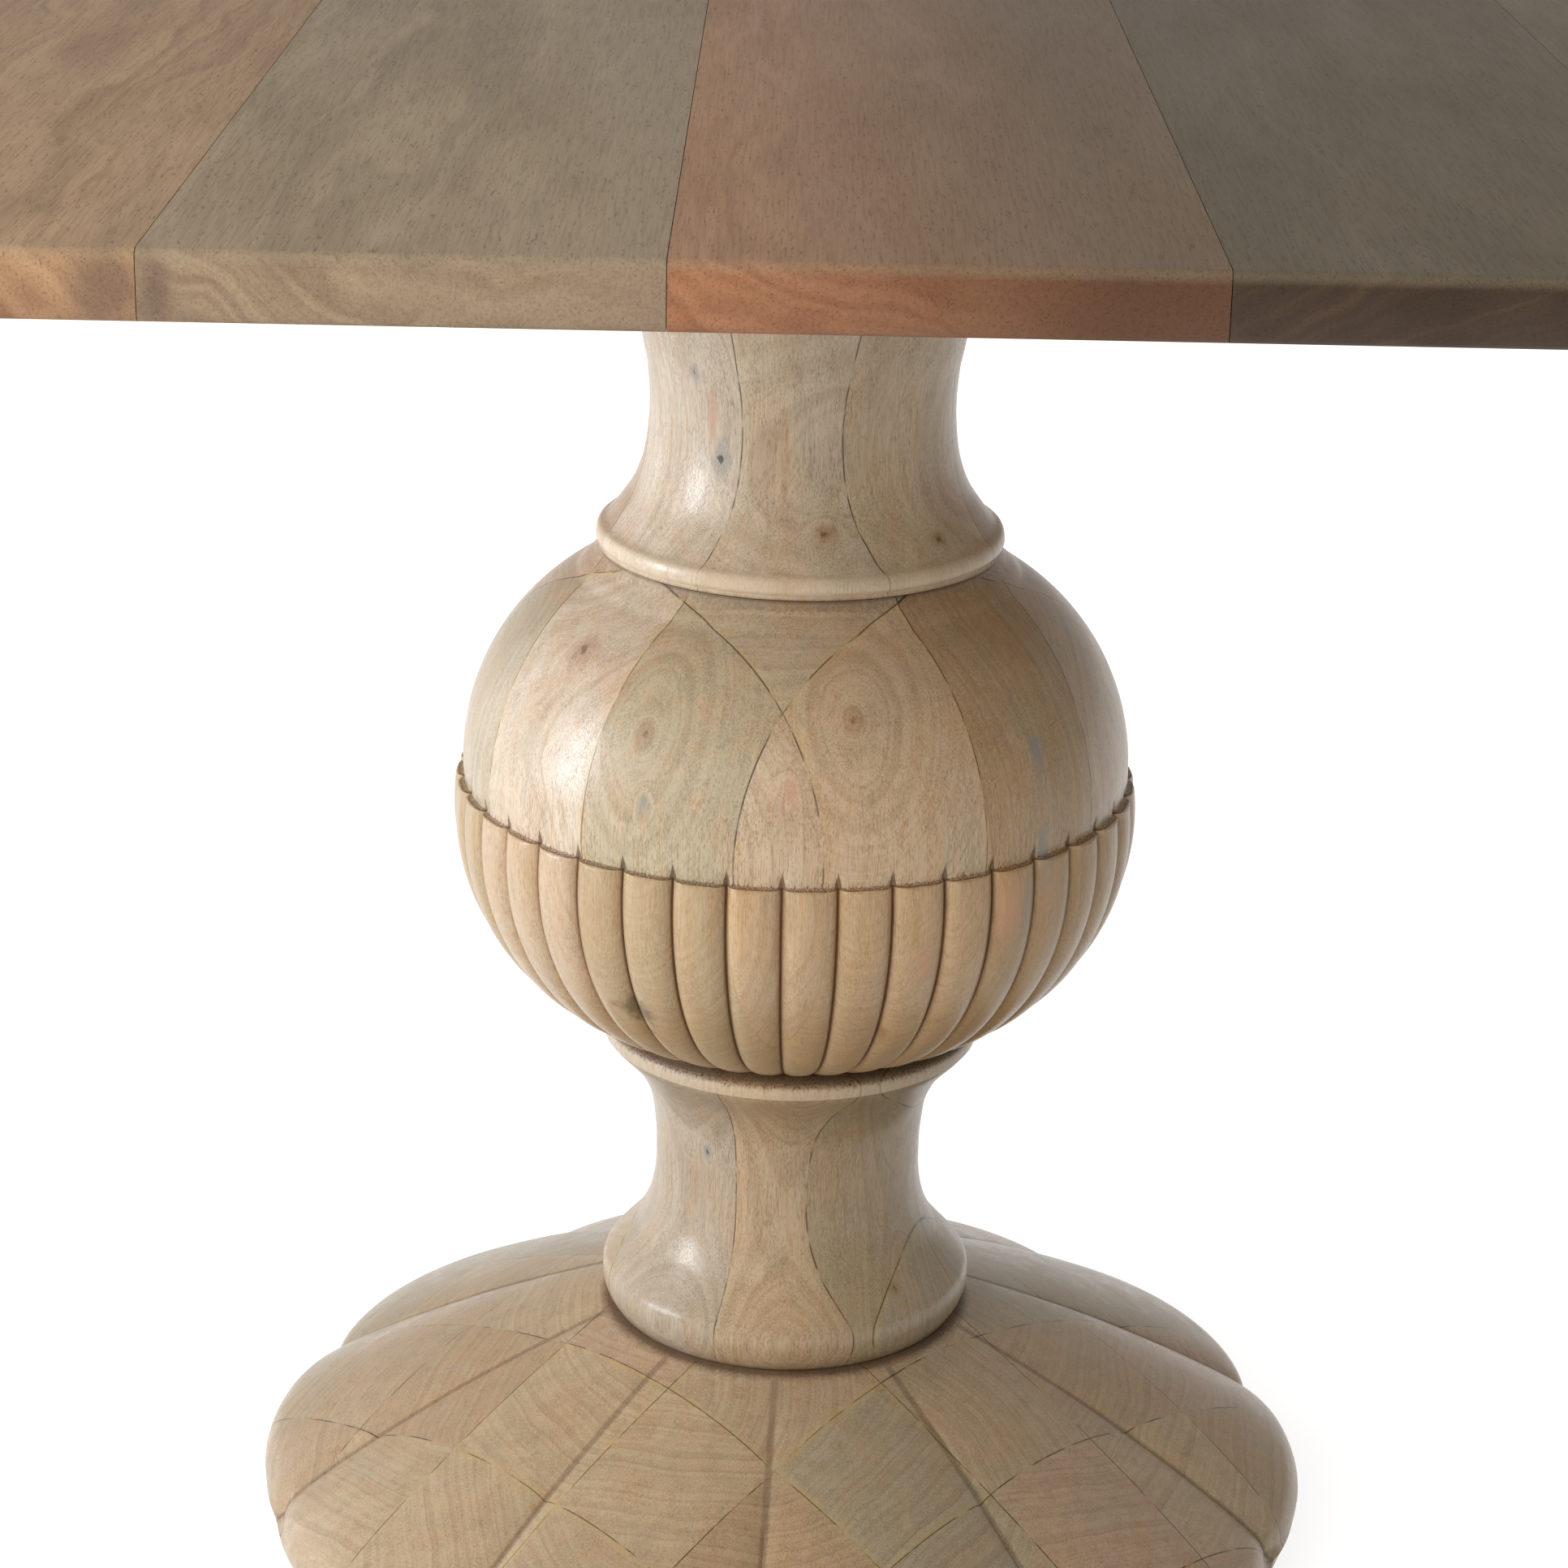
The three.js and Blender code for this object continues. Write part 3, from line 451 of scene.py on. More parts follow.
def glued_blank(add, place, seams, boards, batch, girth):
    """The boards that a piece was turned from: their colour, the distance in mm from each one's
    pith and from the nearest glue line, and three chances between 0 and 1 for each board."""
    height = add("SeparateXYZ", {0: place}).node.outputs["Z"]
    across, number, gaps = [], [], []
    for bearing, first, width in seams:
        a = math.radians(bearing)
        u = add("VectorMath", {0: place, 1: (math.cos(a), math.sin(a), 0)}, out=1,
                operation="DOT_PRODUCT")
        u = add("Clamp", {0: u, 1: -girth, 2: girth})
        u = add("Math", {0: u, 1: first}, operation="SUBTRACT")
        across.append(u)
        boards_along = add("Math", {0: u, 1: width}, operation="DIVIDE")
        number.append(add("Math", {0: boards_along}, operation="FLOOR"))
        gaps.append(add("Math", {0: u, 1: width / 2}, operation="PINGPONG"))
    gap = add("Math", {0: gaps[0], 1: gaps[1]}, operation="MINIMUM")
    cell = add("CombineXYZ", {0: number[0], 1: number[1], 2: batch})
    chance = add("TexWhiteNoise", {0: cell}, out=1, noise_dimensions="3D")

    # A colour by chance for each board, and a pith up to 95 mm to each side that leans a little.
    shades = (BEIGE, SAGE, TAN, CREAM, BEIGE, PINK)
    colour = add("ValToRGB", {0: add("SeparateXYZ", {0: chance})})
    ramp = colour.node.color_ramp
    ramp.interpolation = "CONSTANT"
    for i, shade in enumerate(shades):
        stop = ramp.elements[0] if i == 0 else ramp.elements.new(i / len(shades))
        stop.color = linear(shade)
    ramp.elements.remove(ramp.elements[-1])
    spread = add("VectorMath", {0: chance, 1: (0.5, 0.5, 0.5)}, operation="SUBTRACT")
    pith = add("VectorMath", {0: spread, 1: (190, 190, 0.5)}, operation="MULTIPLY")
    lean = add("VectorMath", {0: spread, 1: (0.3, 0.3, 0)}, operation="MULTIPLY")

    # The boards that are known, in place of chance.
    for (i, j), (shade, pith_u, pith_v, lean_u, lean_v) in boards.items():
        away = add("VectorMath", {0: cell, 1: (i, j, batch)}, out=1, operation="DISTANCE")
        here = add("Math", {0: away, 1: 0.5}, operation="LESS_THAN")
        colour = coated(add, colour, (WASH, here, shade))
        pith = add("Mix", {0: here, 4: pith, 5: (pith_u, pith_v, 0)}, out=1, data_type="VECTOR")
        lean = add("Mix", {0: here, 4: lean, 5: (lean_u, lean_v, 0)}, out=1, data_type="VECTOR")

    spot = add("CombineXYZ", {0: across[0], 1: across[1], 2: 0.0})
    leaned = add("VectorMath", {0: lean, "Scale": height}, operation="SCALE")
    spot = add("VectorMath", {0: spot, 1: leaned}, operation="SUBTRACT")
    reach = add("VectorMath", {0: spot, 1: pith}, out=1, operation="DISTANCE")
    return colour, reach, gap, chance


def pedestal_wood(name, seams, boards, batch, marks, stains, tone="#ffffff", girth=400,
                  carved_top=0):
    """One glued-up blank, washed, stained and lacquered.

    seams: two families of glue planes, each (bearing in degrees, first plane and board width in
    mm), none further than girth from the rod. boards: {(i, j): (hex, pith u, pith v, lean u,
    lean v)} by the board's number across each family. batch: a number of the piece's own, for its
    chances. marks: [(place, width, height, kind)]. stains: the function that stains this piece's
    hollows; on the columns it also paints a highlight along the crest, and on the globe painted
    shade along the step. tone: a colour that darkens the whole piece. Below carved_top the glue
    lines are cut through by the carving and hardly show."""
    finish, add, place = new_finish(name)
    axes = add("SeparateXYZ", {0: place})
    height = axes.node.outputs["Z"]
    colour, reach, gap, chance = glued_blank(add, place, seams, boards, batch, girth)

    # The rings wander by a few millimetres and bulge round a knot.
    wander = add("VectorMath", {0: place, 1: chance}, operation="ADD")
    wander = figure(add, wander, (60, 60, 150), 2, 3.1)
    reach = add("Math", {0: wander, 1: 13.0, 2: reach}, operation="MULTIPLY_ADD")
    rumple = figure(add, place, (3.5, 3.5, 4.5), 3, 71.0, 0.6)
    rumple = add("Math", {0: rumple, 1: 0.5}, operation="SUBTRACT")
    knots = []
    for where, wide, tall, kind in marks:
        away = add("VectorMath", {0: place, 1: where}, operation="SUBTRACT")
        away = add("VectorMath", {0: away, 1: (1 / wide, 1 / wide, 1 / tall)}, operation="MULTIPLY")
        far = add("VectorMath", {0: away}, out=1, operation="LENGTH")
        knots.append((add("Math", {0: rumple, 1: 1.5, 2: far}, operation="MULTIPLY_ADD"), kind))
        if kind not in ("pin", "streak"):
            bulge = add("MapRange", {0: far, 1: 3.2, 2: 0.2, 4: 9.0}, **SOFT)
            reach = add("Math", {0: bulge, 1: reach}, operation="ADD")
    count = add("Math", {0: reach, 1: 1 / RING_PITCH}, operation="MULTIPLY")
    rings = add("TexNoise", {"W": count, "Scale": 1.0, "Detail": 3.0, "Roughness": 0.62},
                noise_dimensions="1D")
    late = add("Math", {0: count}, operation="FRACT")
    late = add("MapRange", {0: late, 1: 0.62, 2: 0.97})
    hard = add("MapRange", {0: rings, 1: 0.36, 2: 0.6}, **SOFT)
    late = add("Math", {0: late, 1: hard}, operation="MULTIPLY")

    # The wash takes unevenly: grey green here, pink tan there, in clouds drawn out along the grain.
    for widths, detail, seed, none, whole, strength, shade in (
            ((26, 26, 75), 3, 7.3, 0.44, 0.64, 0.35, SAGE),
            ((20, 20, 60), 3, 21.0, 0.46, 0.66, 0.32, "#cda883"),
            ((5, 5, 120), 2, 13.0, 0.58, 0.70, 0.3, "#cfa06c"),
            ((6, 6, 90), 3, 31.0, 0.60, 0.72, 0.3, "#99937f")):
        cloud = figure(add, place, widths, detail, seed)
        cloud = add("MapRange", {0: cloud, 1: none, 2: whole, 4: strength}, **SOFT)
        colour = coated(add, colour, (WASH, cloud, shade))

    # Fine fibre and open pores in crowds. A pore is 0.3 mm wide, drawn 0.42 mm so that it shows.
    fibre = figure(add, place, (0.9, 0.9, 26), 3, 2.0, 0.6)
    crowd = figure(add, place, (9, 9, 34), 2, 17.0)
    crowd = add("MapRange", {0: crowd, 1: 0.35, 2: 0.62, 4: 0.08}, **SOFT)
    pore = figure(add, place, (0.42, 0.42, 3.4), 2, 9.0, 0.55)
    pore = add("Math", {0: pore, 1: crowd}, operation="ADD")
    pore = add("MapRange", {0: pore, 1: 0.58, 2: 0.69}, **SOFT)
    colour = coated(
        add, colour,
        (STAIN, add("MapRange", {0: rings, 1: 0.35, 2: 0.72, 4: 0.22}, **SOFT), "#bda382"),
        (STAIN, add("Math", {0: late, 1: 0.13}, operation="MULTIPLY"), "#a2845f"),
        (STAIN, add("MapRange", {0: fibre, 1: 0.40, 2: 0.68, 4: 0.3}, **SOFT), "#b39774"),
        (STAIN, add("Math", {0: pore, 1: 0.42}, operation="MULTIPLY"), "#8b795f"))

    # Knots and other marks: a soft bruise, a darker heart and, in some, a black pin.
    for far, kind in knots:
        for how, none, whole, strength, shade in MARKS[kind]:
            share = add("MapRange", {0: far, 1: none, 2: whole, 4: strength}, **SOFT)
            colour = coated(add, colour, (how, share, shade))

    # Glue lines: 0.4 mm of dark glue, drawn 0.6 mm, that fails to show here and there, with wood
    # yellowed for a few millimetres beside some of them.
    broken = figure(add, place, (14, 14, 14), 2, 41.0)
    broken = add("MapRange", {0: broken, 1: 0.35, 2: 0.54, 4: 0.88}, **SOFT)
    glue = add("MapRange", {0: gap, 1: 0.48, 2: 0.1}, **SOFT)
    seam = add("Math", {0: glue, 1: broken}, operation="MULTIPLY")
    shown = add("MapRange", {0: height, 1: carved_top, 2: carved_top + 0.4, 3: 0.22})
    some = add("SeparateXYZ", {0: chance}).node.outputs["Z"]
    some = add("MapRange", {0: some, 1: 0.55, 2: 0.9, 4: 0.28}, **SOFT)
    beside = add("MapRange", {0: gap, 1: 4.0, 2: 0.5}, **SOFT)
    colour = coated(
        add, colour,
        (STAIN, add("Math", {0: seam, 1: shown}, operation="MULTIPLY"), "#54422f"),
        (WASH, add("Math", {0: beside, 1: some}, operation="MULTIPLY"), "#cfb36f"),
        (STAIN, 1.0, tone))

    dirt = figure(add, place, (1.6, 1.6, 2.6), 3, 5.0, 0.7)
    colour, sunk = stains(add, colour, place, axes, dirt)
    relief = grain_relief(add, pore, fibre)
    relief = add("Math", {0: seam, 1: -0.7, 2: relief}, operation="MULTIPLY_ADD")
    relief = add("Math", {0: sunk, 1: -1.2, 2: relief}, operation="MULTIPLY_ADD")
    polish = figure(add, place, (12, 12, 30), 3, 51.0)
    shine = add("MapRange", {0: polish, 1: 0.3, 2: 0.7, 3: 0.26, 4: 0.34})
    shine = add("Math", {0: sunk, 1: 0.3, 2: shine}, operation="MULTIPLY_ADD")
    lacquered(add, colour, shine, relief, 0.12)
    return finish


def from_rod(add, axes):
    """Distance in mm from the rod."""
    level = add("CombineXYZ", {0: axes, 1: axes.node.outputs["Y"], 2: 0.0})
    return add("VectorMath", {0: level}, out=1, operation="LENGTH")


def groove_gap(add, axes, radius, count, phase):
    """Distance in mm to the nearest groove of the carving, at this radius."""
    x, y = axes, axes.node.outputs["Y"]
    ahead = add("Math", {0: y, 1: -1.0}, operation="MULTIPLY")
    angle = add("Math", {0: x, 1: ahead}, operation="ARCTAN2")
    lobes = add("Math", {0: angle, 1: phase}, operation="SUBTRACT")
    lobes = add("Math", {0: lobes, 1: count / (2 * math.pi)}, operation="MULTIPLY")
    share = add("Math", {0: lobes, 1: 0.5}, operation="PINGPONG")
    width = add("Math", {0: radius, 1: 2 * math.pi / count}, operation="MULTIPLY")
    return add("Math", {0: share, 1: width}, operation="MULTIPLY")


def column_stains(low, high, crest=None, crest_highlight_strength=0.42):
    """Stain in the joint below and the joint above a column, and a highlight painted along the
    crest.
    """
    def stains(add, colour, place, axes, dirt):
        height = axes.node.outputs["Z"]
        if crest:
            start, end = crest
            # The crest is painted paler: a painted highlight along the bead, where the light
            # catches it.
            ragged = add("Math", {0: dirt, 1: 1.6, 2: height}, operation="MULTIPLY_ADD")
            above = add("MapRange", {0: ragged, 1: start + 0.4, 2: start + 2.2, 4: crest_highlight_strength}, **SOFT)
            below = add("MapRange", {0: ragged, 1: end + 1.6, 2: end + 0.2}, **SOFT)
            crest_highlight_share = add("Math", {0: above, 1: below}, operation="MULTIPLY")
            colour = coated(add, colour, (WASH, crest_highlight_share, "#dcc6a8"))
        rough = add("Math", {0: dirt, 1: 3.0, 2: height}, operation="MULTIPLY_ADD")
        bottom = add("MapRange", {0: rough, 1: low + 4.2, 2: low + 1.2}, **SOFT)
        top = add("MapRange", {0: rough, 1: high - 2.2, 2: high + 1.5}, **SOFT)
        darkened = add("Math", {0: bottom, 1: top}, operation="MAXIMUM")
        # Nicks from the turner's skew, a few millimetres long, just under the joint above.
        nick = figure(add, place, (0.9, 0.9, 8), 2, 83.0, 0.6)
        nick = add("MapRange", {0: nick, 1: 0.57, 2: 0.605}, **SOFT)
        near = add("MapRange", {0: height, 1: high - 5, 2: high, 4: 0.95}, **SOFT)
        colour = coated(
            add, colour,
            (STAIN, add("Math", {0: darkened, 1: 0.6}, operation="MULTIPLY"), "#8a6644"),
            (STAIN, add("Math", {0: nick, 1: near}, operation="MULTIPLY"), "#4c3320"))
        return colour, darkened
    return stains


def globe_stains(add, colour, place, axes, dirt):
    """Stain in the grooves, where the V tool overran the step, and in the joints, and painted shade
    along the step.
    """
    height = axes.node.outputs["Z"]
    gap = groove_gap(add, axes, from_rod(add, axes), FLUTES, FLUTE_PHASE)
    carved = add("Math", {0: height, 1: STEP + 0.3}, operation="LESS_THAN")
    ragged = add("Math", {0: dirt, 1: 2.2, 2: gap}, operation="MULTIPLY_ADD")
    groove = add("MapRange", {0: ragged, 1: 2.9, 2: 1.3}, **SOFT)
    groove = add("Math", {0: groove, 1: carved}, operation="MULTIPLY")
    fine = add("MapRange", {0: gap, 1: 1.0, 2: 0.3}, **SOFT)
    fine = add("Math", {0: fine, 1: carved}, operation="MULTIPLY")

    # Each groove's overrun is a dark spike that narrows over 9 mm above the step, and along the
    # step runs a dark line of painted shade in its inner corner, ragged with a fuzz of torn fibre.
    above = add("Math", {0: height, 1: STEP}, operation="SUBTRACT")
    taper = add("MapRange", {0: above, 1: 9.0, 2: 0.0, 4: 1.6}, **SOFT)
    spike = add("Math", {0: gap, 1: taper}, operation="LESS_THAN")
    higher = add("Math", {0: above, 1: 0.0}, operation="GREATER_THAN")
    spike = add("Math", {0: spike, 1: higher}, operation="MULTIPLY")
    step_shade_fuzz = figure(add, place, (0.8, 0.8, 5), 2, 61.0)
    step_shade_fuzz = add("Math", {0: step_shade_fuzz, 1: 6.0, 2: above}, operation="MULTIPLY_ADD")
    step_shade_fuzz = add("MapRange", {0: step_shade_fuzz, 1: 4.2, 2: 3.0}, **SOFT)
    higher = add("Math", {0: above, 1: -0.15}, operation="GREATER_THAN")
    step_shade_fuzz = add("Math", {0: step_shade_fuzz, 1: higher}, operation="MULTIPLY")

    # Stain in the joint below. Under the column above lie a strip of end grain, rough from the
    # scraper, and the glue line itself.
    lower = add("Math", {0: dirt, 1: 3.0, 2: height}, operation="MULTIPLY_ADD")
    lower = add("MapRange", {0: lower, 1: 286.5, 2: 283.2}, **SOFT)
    neck = add("Math", {0: dirt, 1: -9.0, 2: height}, operation="MULTIPLY_ADD")
    neck = add("MapRange", {0: neck, 1: 507.5, 2: 510.5, 4: 0.55}, **SOFT)
    glue = add("MapRange", {0: height, 1: 515.2, 2: 516.4}, **SOFT)
    neck = add("Math", {0: neck, 1: glue}, operation="MAXIMUM")
    # This holds the stain in the joints and in the V tool's notches, and the painted shade along
    # the step.
    darkened = add("Math", {0: spike, 1: step_shade_fuzz}, operation="MAXIMUM")
    for hollow, strength in ((lower, 0.35), (neck, 0.85)):
        hollow = add("Math", {0: hollow, 1: strength}, operation="MULTIPLY")
        darkened = add("Math", {0: darkened, 1: hollow}, operation="MAXIMUM")

    colour = coated(
        add, colour,
        (WASH, add("Math", {0: carved, 1: 0.24}, operation="MULTIPLY"), "#d8b27a"),
        (STAIN, add("Math", {0: carved, 1: 0.5}, operation="MULTIPLY"), "#dbd1c2"),
        (STAIN, add("Math", {0: groove, 1: 0.4}, operation="MULTIPLY"), "#b98f63"),
        (STAIN, add("Math", {0: fine, 1: 0.68}, operation="MULTIPLY"), OLD_STAIN),
        (STAIN, add("Math", {0: darkened, 1: 0.72}, operation="MULTIPLY"), OLD_STAIN))
    return colour, add("Math", {0: groove, 1: darkened}, operation="MAXIMUM")


def base_stains(add, colour, place, axes, dirt):
    """Stain in the grooves between the petals and round the foot of the column above."""
    radius = from_rod(add, axes)
    gap = groove_gap(add, axes, radius, PETALS, PETAL_PHASE)
    groove = add("Math", {0: dirt, 1: 1.6, 2: gap}, operation="MULTIPLY_ADD")
    groove = add("MapRange", {0: groove, 1: 3.4, 2: 1.6}, **SOFT)
    groove = add("Math", {0: groove, 1: 0.6}, operation="MULTIPLY")
    neck = add("Math", {0: dirt, 1: 6.0, 2: radius}, operation="MULTIPLY_ADD")
    neck = add("MapRange", {0: neck, 1: 97, 2: 91}, **SOFT)
    darkened = add("Math", {0: groove, 1: neck}, operation="MAXIMUM")
    share = add("Math", {0: darkened, 1: 0.7}, operation="MULTIPLY")
    return coated(add, colour, (STAIN, share, OLD_STAIN)), darkened


def plank_wood(name, shade, dark, light, pith, seed, fade=None, patches=()):
    """One plank of mixed mango, planed and lacquered: grain front to back, so the front edge shows
    growth-ring arcs and the face long streaks.

    pith: (x, z) in mm. fade: (x where it starts, x where it ends, hex), a drift of colour across
    the plank. patches: [(place, width, height, hex, strength)] on the front edge."""
    finish, add, place = new_finish(name)
    axes = add("SeparateXYZ", {0: place})
    wander = figure(add, place, (60, 260, 60), 3, seed)
    spot = add("VectorMath", {0: place, 1: (1, 0, 1)}, operation="MULTIPLY")
    reach = add("VectorMath", {0: spot, 1: (pith[0], 0, pith[1])}, out=1, operation="DISTANCE")
    reach = add("Math", {0: wander, 1: 46.0, 2: reach}, operation="MULTIPLY_ADD")
    count = add("Math", {0: reach, 1: 1 / PLANK_RING_PITCH}, operation="MULTIPLY")
    rings = add("TexNoise", {"W": count, "Scale": 1.0, "Detail": 4.0, "Roughness": 0.55},
                noise_dimensions="1D")
    cloud = figure(add, place, (34, 190, 22), 3, seed + 4)
    wash = figure(add, place, (50, 160, 30), 3, seed + 9)
    colour = coated(
        add, linear(shade),
        (WASH, add("MapRange", {0: rings, 1: 0.38, 2: 0.66, 4: 0.55}, **SOFT), dark),
        (WASH, add("MapRange", {0: rings, 1: 0.46, 2: 0.30, 4: 0.5}, **SOFT), light),
        (WASH, add("MapRange", {0: cloud, 1: 0.45, 2: 0.66, 4: 0.5}, **SOFT), dark),
        (WASH, add("MapRange", {0: wash, 1: 0.46, 2: 0.66, 4: 0.4}, **SOFT), light))
    for where, wide, tall, tint, strength in patches:
        away = add("VectorMath", {0: place, 1: where}, operation="SUBTRACT")
        away = add("VectorMath", {0: away, 1: (1 / wide, 1 / PATCH_RUN, 1 / tall)},
                   operation="MULTIPLY")
        far = add("VectorMath", {0: away}, out=1, operation="LENGTH")
        far = add("Math", {0: wander, 1: 1.2, 2: far}, operation="MULTIPLY_ADD")
        share = add("MapRange", {0: far, 1: 1.7, 2: 0.8, 4: strength}, **SOFT)
        colour = coated(add, colour, (WASH, share, tint))
    if fade:
        start, end, tint = fade
        colour = coated(add, colour, (WASH, add("MapRange", {0: axes, 1: start, 2: end}), tint))

    # From the eased upper edge up over the face, a greyer wash: a painted sheen, the reflection of
    # light from above.
    painted_arris_sheen = add("MapRange", {0: axes.node.outputs["Z"], 1: 756.5, 2: 760.5, 4: 0.3}, **SOFT)
    pore = figure(add, place, (0.8, 7.0, 0.8), 1, seed + 2, 0.55)
    pore = add("MapRange", {0: pore, 1: 0.62, 2: 0.70}, **SOFT)
    fibre = figure(add, place, (1.2, 40, 1.2), 3, seed + 6, 0.6)
    colour = coated(
        add, colour,
        (WASH, painted_arris_sheen, "#9d9278"),
        (STAIN, add("Math", {0: pore, 1: 0.4}, operation="MULTIPLY"), "#7c6147"),
        (STAIN, add("MapRange", {0: fibre, 1: 0.42, 2: 0.66, 4: 0.25}, **SOFT), "#a38766"))
    shine = add("MapRange", {0: cloud, 1: 0.3, 2: 0.7, 3: 0.46, 4: 0.58})
    lacquered(add, colour, shine, grain_relief(add, pore, fibre), 0.1, 0.03)
    return finish


def plain_board(name, shade, dark, lengthwise, seed):
    """Timber under the top, machined and lightly sanded: quiet streaks of fibre along the grain.
    lengthwise is 0 along X, 1 along Y, 2 along Z."""
    finish, add, place = new_finish(name)
    ring_size, fibre_size = [14, 14, 14], [0.9, 0.9, 0.9]
    ring_size[lengthwise], fibre_size[lengthwise] = 220, 22
    rings = figure(add, place, ring_size, 4, seed)
    fibre = figure(add, place, fibre_size, 3, seed + 3, 0.6)
    colour = coated(
        add, linear(shade),
        (WASH, add("MapRange", {0: rings, 1: 0.4, 2: 0.62, 4: 0.7}, **SOFT), dark),
        (STAIN, add("MapRange", {0: fibre, 1: 0.42, 2: 0.66, 4: 0.4}, **SOFT), "#a78d6b"))
    shine = add("MapRange", {0: fibre, 1: 0.7, 2: 0.3, 4: 0.7}, **SOFT)
    lacquered(add, colour, shine, fibre, 0.15)
    return finish


def bright_metal(name, shade, roughness, grain):
    """Plated steel or turned brass: even colour, fine tool marks grain mm apart in the shine."""
    finish, add, place = new_finish(name)
    marks = figure(add, place, (grain, grain, grain * 0.2), 3, 1.0, 0.6)
    dull = figure(add, place, (6, 6, 6), 3, 4.0)
    dull = add("MapRange", {0: dull, 1: 0.45, 2: 0.68, 4: 0.35}, **SOFT)
    colour = coated(add, linear(shade), (WASH, dull, "#6f6c66"))
    shine = add("MapRange", {0: marks, 1: 0.3, 2: 0.7, 3: roughness - 0.06, 4: roughness + 0.1})
    bump = add("Bump", {"Strength": 0.15, "Distance": 0.05 * MM, "Height": marks})
    skin = add("BsdfPrincipled", {"Base Color": colour, "Metallic": 1.0, "Roughness": shine,
                                  "Normal": bump})
    add("OutputMaterial", {"Surface": skin})
    return finish


def moulded_nylon(name, shade):
    """Moulded nylon: near black, faintly mottled, with a fine spark-eroded texture."""
    finish, add, place = new_finish(name)
    texture = figure(add, place, (0.7, 0.7, 0.7), 2, 2.0)
    mottle = figure(add, place, (9, 9, 9), 3, 6.0)
    share = add("MapRange", {0: mottle, 1: 0.4, 2: 0.65, 4: 0.5}, **SOFT)
    colour = coated(add, linear(shade), (WASH, share, "#3a3a3c"))
    bump = add("Bump", {"Strength": 0.2, "Distance": 0.05 * MM, "Height": texture})
    shine = add("MapRange", {0: mottle, 1: 0.3, 2: 0.7, 3: 0.5, 4: 0.62})
    skin = add("BsdfPrincipled", {"Base Color": colour, "Roughness": shine, "Normal": bump,
                                  "IOR": 1.53})
    add("OutputMaterial", {"Surface": skin})
    return finish


def dress(piece, finish):
    piece.data.materials.clear()
    piece.data.materials.append(finish)


# ---------- the pedestal ----------

# The base and the plinth were turned from the same kind of blank.
WIDE_BLANK = [(46, -30, 74), (137, -22, 72)]

dress(upper_column(), pedestal_wood(
    "washed mango, upper column",
    [(51.5, -42.6, 70), (132.2, -30.5, 70)],
    {(0, -1): ("#dcc6a6", 60, -70, 0, 0.12),
     (-1, -1): ("#d9c7ac", -40, -60, 0.1, 0.1),
     (0, 0): ("#c4aa82", 110, 60, 0, 0),
     (-1, 0): ("#dccdb8", -70, 20, 0.1, 0.1)},
    1.0,
    [((-49, -55, 611), 2.6, 5, "grey"),
     ((-36.5, -61.5, 573.5), 4.5, 9, "grey"),
     ((-41, -59, 592), 2.4, 15, "pink"),
     ((11, -79, 544.6), 4, 3.6, "orange"),
     ((62.6, -57, 536.8), 3.6, 3, "orange")],
    column_stains(UPPER_FOOT, 760, (UPPER_FOOT, 528.2))))

dress(globe(), pedestal_wood(
    "washed mango, globe",
    [(40.2, -20.3, 71.7), (135.5, -20.2, 69.8)],
    {(-2, -2): ("#d0b99c", 20, -60, 0, 0),
     (-2, -1): ("#beae91", -385, -105, 0.515, 0.159),
     (-1, -2): ("#d3b896", -239, -407, 0.366, 0.603),
     (-1, -1): ("#c4b194", 60, 60, 0, 0),
     (0, -2): ("#b99b73", 290, -60, 0, 0),
     (-2, 0): ("#d6c5b0", -190, 60, 0.3, 0)},
    2.0,
    [((24.6, -134.4, 475.5), 3, 7, "eye"),
     ((-67.3, -127.4, 464.2), 3, 6, "eye"),
     ((-67.6, -139.7, 436.1), 2.2, 5, "grey"),
     ((-96.6, -80.5, 488.7), 6, 7, "eye"),
     ((-69.5, -128.5, 331), 8, 12, "dark"),
     ((-64.5, -122.5, 319), 5, 2, "pin"),
     ((-80, -123.9, 333.8), 3, 2.2, "orange"),
     ((41, -136, 325), 3, 7, "orange"),
     ((107.5, -103.8, 445), 4, 26, "streak"),
     ((113, -112, 402), 4, 18, "streak"),
     ((105, -122, 385), 4, 16, "streak"),
     ((124, -100, 378), 4, 18, "streak"),
     ((97, -130, 384), 6, 15, "pink"),
     ((59.5, -149.5, 366.4), 5, 9, "pink"),
     ((-2, -151, 440), 3, 16, "pink")],
    globe_stains, girth=154, carved_top=STEP))

dress(lower_column(), pedestal_wood(
    "washed mango, lower column",
    [(49.2, -42.3, 70), (158.8, 0.9, 70)],
    {(0, -1): ("#bfab8a", 40, -120, 0, 0.1),
     (-1, -1): ("#d3b896", -60, -50, 0.1, 0),
     (-1, 0): ("#c6b6a2", -90, 30, 0.1, 0)},
    3.0,
    [((-38.5, -53.6, 227), 2, 4, "grey"),
     ((53, -60, 160), 2, 3.6, "orange")],
    column_stains(LOWER_FOOT, LOWER_HEAD, (271, 278), 0.3), "#e0dfdb"))

dress(base(), pedestal_wood(
    "washed mango, carved base", WIDE_BLANK, {}, 4.0, [], base_stains, "#e3e2de"))

dress(plinth(), pedestal_wood(
    "washed mango, plinth", WIDE_BLANK, {}, 5.0, [], column_stains(5, 26.5), "#e3e2de"))


# ---------- the top ----------

